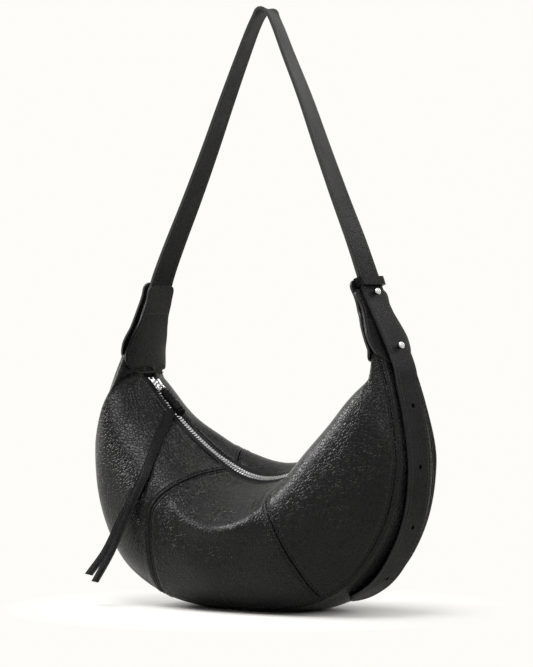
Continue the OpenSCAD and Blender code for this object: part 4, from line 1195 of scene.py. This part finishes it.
class HALFMOON_OT_strap(Operator):
    """Draw the strap in one length, from the sewn tab over the top to its punched tail, and the keeper"""
    bl_idname = "half_moon.strap"
    bl_label = "Strap"

    def execute(self, context):
        w = strap_sizes()
        path, run, tail_length = strap_path()
        way = unit(np.gradient(path, axis=0))
        twist = -STRAP_TWIST * np.clip((path[:, 2] - w.tab_top) / (w.top - w.tab_top), 0, 1)
        flat = np.stack([np.sin(twist), np.cos(twist), 0 * twist], -1)
        across = unit(flat - way * (flat * way).sum(-1, keepdims=True))
        out = np.cross(across, way)
        p = belt_rows(path, across, out, w.width, STRAP_COLUMNS)
        # The free end is cut round
        to_end = run[-1] - run
        past = np.clip(ROUND_END - to_end, 0, ROUND_END) / (ROUND_END + 0.0005)
        narrow = np.sqrt(np.clip(1 - past ** 2, 0.02, 1))
        belt = grid_piece("belt", mix(path[:, None], p, narrow[:, None, None]))
        face_out(belt, lambda c: c * [1, 0, 0])
        thicken(belt, w.thickness, 0, "strap leather", STRAP_EDGE, 3)
        for k in range(HOLES):
            at = run[-1] - tail_length + FIRST_HOLE + w.hole_pitch * k
            self.punch(belt, at_run(at, run, path), unit(at_run(at, run, way)), unit(at_run(at, run, out)))
        smooth(belt, 40)
        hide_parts("shoulder_strap", "strap_bend_left", "strap_bend_right", "strap_end", "strap_tail")
        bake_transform(belt)
        sewn = (run > SEWN_FROM) & (to_end > SEWN_TO)
        rows = []
        for edge in (-1, 1):
            for face in (-1, 1):
                line = path + across * (edge * (w.width / 2 - STITCH_INSET)) + out * (face * w.thickness / 2)
                rows.append((line[sewn], (out * face)[sewn]))
        stitches = stitch_rows("belt_stitches", rows, sink=0.0001)
        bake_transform(stitches)
        self.keeper()
        return {"FINISHED"}

    def punch(self, belt, centre, way, out):
        """One hole, cut with a round tool that goes"""
        deselect()
        bpy.ops.mesh.primitive_cylinder_add(vertices=24, radius=HOLE_RADIUS, depth=HOLE_DEPTH)
        tool = bpy.context.object
        turn = Matrix(np.array([way, np.cross(out, way), out]).T.tolist()).to_4x4()
        tool.data.transform(Matrix.Translation(Vector(centre)) @ turn)
        cut = belt.modifiers.new("Hole", "BOOLEAN")
        cut.operation, cut.solver, cut.object = "DIFFERENCE", "EXACT", tool
        apply_modifiers(belt)
        bpy.data.objects.remove(tool, do_unlink=True)

    def keeper(self):
        """The band round strap and tail"""
        w = strap_sizes()
        k = np.array(KEEPER_AT)
        way = unit(strap_middle(k + 0.05) - strap_middle(k - 0.05))
        out = np.cross(TO_BACK, way)
        turn = np.linspace(0, 2 * math.pi, 97)
        ring = np.stack([np.cos(turn), np.sin(turn)], -1)
        ring = np.sign(ring) * np.abs(ring) ** KEEPER_CORNER
        ring = ring * (np.array([w.thickness, w.width]) / 2 + FIT + KEEPER_ROOM)
        height = both_sides([0, 0.4, 0.7, 0.9, 1]) * KEEPER_HALF
        p = (strap_middle(k) + way * height[:, None, None] + out * ring[None, :, :1]
             + TO_BACK * ring[None, :, 1:])
        p[:, -1] = p[:, 0]
        obj = grid_piece("keeper_band", p)
        close_faces(obj)
        thicken(obj, KEEPER_WALL, -1, "strap leather", KEEPER_EDGE)
        smooth(obj, 40)
        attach(obj, "keeper")
        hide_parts("keeper_loop")


# Stage

# Name, place, what it looks at, size and power
LAMPS = (("top_soft", (0.15, -0.60, 1.65), (0, 0, 0.15), 0.90, 26),
         ("left_soft", (-1.45, -0.20, 1.05), (0, 0, 0.15), 0.80, 25),
         ("right_soft", (1.7, 0.2, 1.2), (0, 0, 0.15), 0.5, 7),
         ("back_soft", (0.2, 1.7, 1.2), (0, 0, 0.2), 1.2, 7))
# The floor's own colour is 0.87 of the backdrop, so the lit floor near the bag is a shade darker than the
# glow round it: a painted soft shadow round the bag, on top of the real shadows there.
FLOOR_SIZE, FLOOR_SHARE, SKY_LIGHT = 14, 0.87, 0.24
SHADOW_PATCH = (0.06, 0.24)
CAMERA_PLACE, CAMERA_TURN = (2.015, -2.579, 0.289), (math.pi / 2, 0, math.radians(38))
CAMERA_LENS, CAMERA_SENSOR, CAMERA_SHIFT, CAMERA_REACH = 243.2, 36, (0.0084, -0.0816), 50


class HALFMOON_OT_stage(Operator):
    """Set the floor, the soft lights, the background and the camera"""
    bl_idname = "half_moon.stage"
    bl_label = "Stage"

    def execute(self, context):
        scene = context.scene
        pale = tuple(finishes().backdrop)
        deselect()
        bpy.ops.mesh.primitive_plane_add(size=FLOOR_SIZE)
        floor = context.object
        floor.name = "floor"
        m = Finish("Floor")
        floor.data.materials.append(m.shade({
            "Base Color": (*tint(pale, FLOOR_SHARE), 1), "Roughness": 0.9, "Specular IOR Level": 0.1}))
        glow = m.node("Emission", {"Color": (*pale, 1), "Strength": 1.0})
        apart = m.node("VectorMath", {0: m.where}, operation="LENGTH").outputs["Value"]
        far = m.span(apart, *SHADOW_PATCH, 0.0, 1.0)
        m.show("Material Output", m.maths("MULTIPLY", m.seen(), far), m.shader, glow)

        scene.world = bpy.data.worlds.new("Studio")
        sky = Tree(scene.world)
        plain = sky.fill(sky.nodes["Background"], {"Color": (1.0, 0.99, 0.97, 1), "Strength": SKY_LIGHT})
        bright = sky.node("Background", {"Color": (*pale, 1), "Strength": 1.0})
        sky.show("World Output", sky.seen(), plain, bright)

        for name, spot, aim, size, power in LAMPS:
            bpy.ops.object.light_add(type="AREA", location=spot)
            lamp = context.object
            lamp.name = name
            lamp.data.shape = "SQUARE"
            lamp.data.size = size
            lamp.data.energy = power
            lamp.rotation_euler = (Vector(aim) - Vector(spot)).to_track_quat("-Z", "Y").to_euler()

        bpy.ops.object.camera_add(location=CAMERA_PLACE, rotation=CAMERA_TURN)
        scene.camera = context.object
        scene.camera.name = "camera"
        lens = scene.camera.data
        lens.sensor_width, lens.sensor_fit, lens.lens = CAMERA_SENSOR, "HORIZONTAL", CAMERA_LENS
        lens.shift_x, lens.shift_y = CAMERA_SHIFT
        lens.clip_end = CAMERA_REACH
        scene.view_settings.view_transform = "Standard"
        return {"FINISHED"}


class HALFMOON_PT_panel(Panel):
    """Lists the bag's sizes and pieces"""
    bl_idname = "HALFMOON_PT_panel"
    bl_label = "Half Moon Bag"
    bl_space_type = "VIEW_3D"
    bl_region_type = "UI"
    bl_category = "Half Moon Bag"

    def draw(self, context):
        col = self.layout.column()
        for op in OPERATORS:
            col.operator(op.bl_idname)
        for group in (body_sizes(), strap_sizes(), finishes()):
            for key in group.__annotations__:
                col.prop(group, key)


OPERATORS = (HALFMOON_OT_stage, HALFMOON_OT_body, HALFMOON_OT_lining, HALFMOON_OT_zip, HALFMOON_OT_pull,
             HALFMOON_OT_tabs, HALFMOON_OT_strap)
CLASSES = (HalfMoonBodySizes, HalfMoonStrapSizes, HalfMoonFinishes, *OPERATORS, HALFMOON_PT_panel)


def register():
    for c in CLASSES:
        bpy.utils.register_class(c)
    bpy.types.Scene.half_moon_body = PointerProperty(type=HalfMoonBodySizes)
    bpy.types.Scene.half_moon_strap = PointerProperty(type=HalfMoonStrapSizes)
    bpy.types.Scene.half_moon_finishes = PointerProperty(type=HalfMoonFinishes)


def unregister():
    for key in ("half_moon_body", "half_moon_strap", "half_moon_finishes"):
        delattr(bpy.types.Scene, key)
    for c in reversed(CLASSES):
        bpy.utils.unregister_class(c)


def main():
    register()
    bpy.ops.half_moon.stage()
    bpy.ops.half_moon.body()
    bpy.ops.half_moon.lining()
    bpy.ops.half_moon.zip()
    bpy.ops.half_moon.pull()
    bpy.ops.half_moon.tabs()
    bpy.ops.half_moon.strap()


if __name__ == "__main__":
    main()
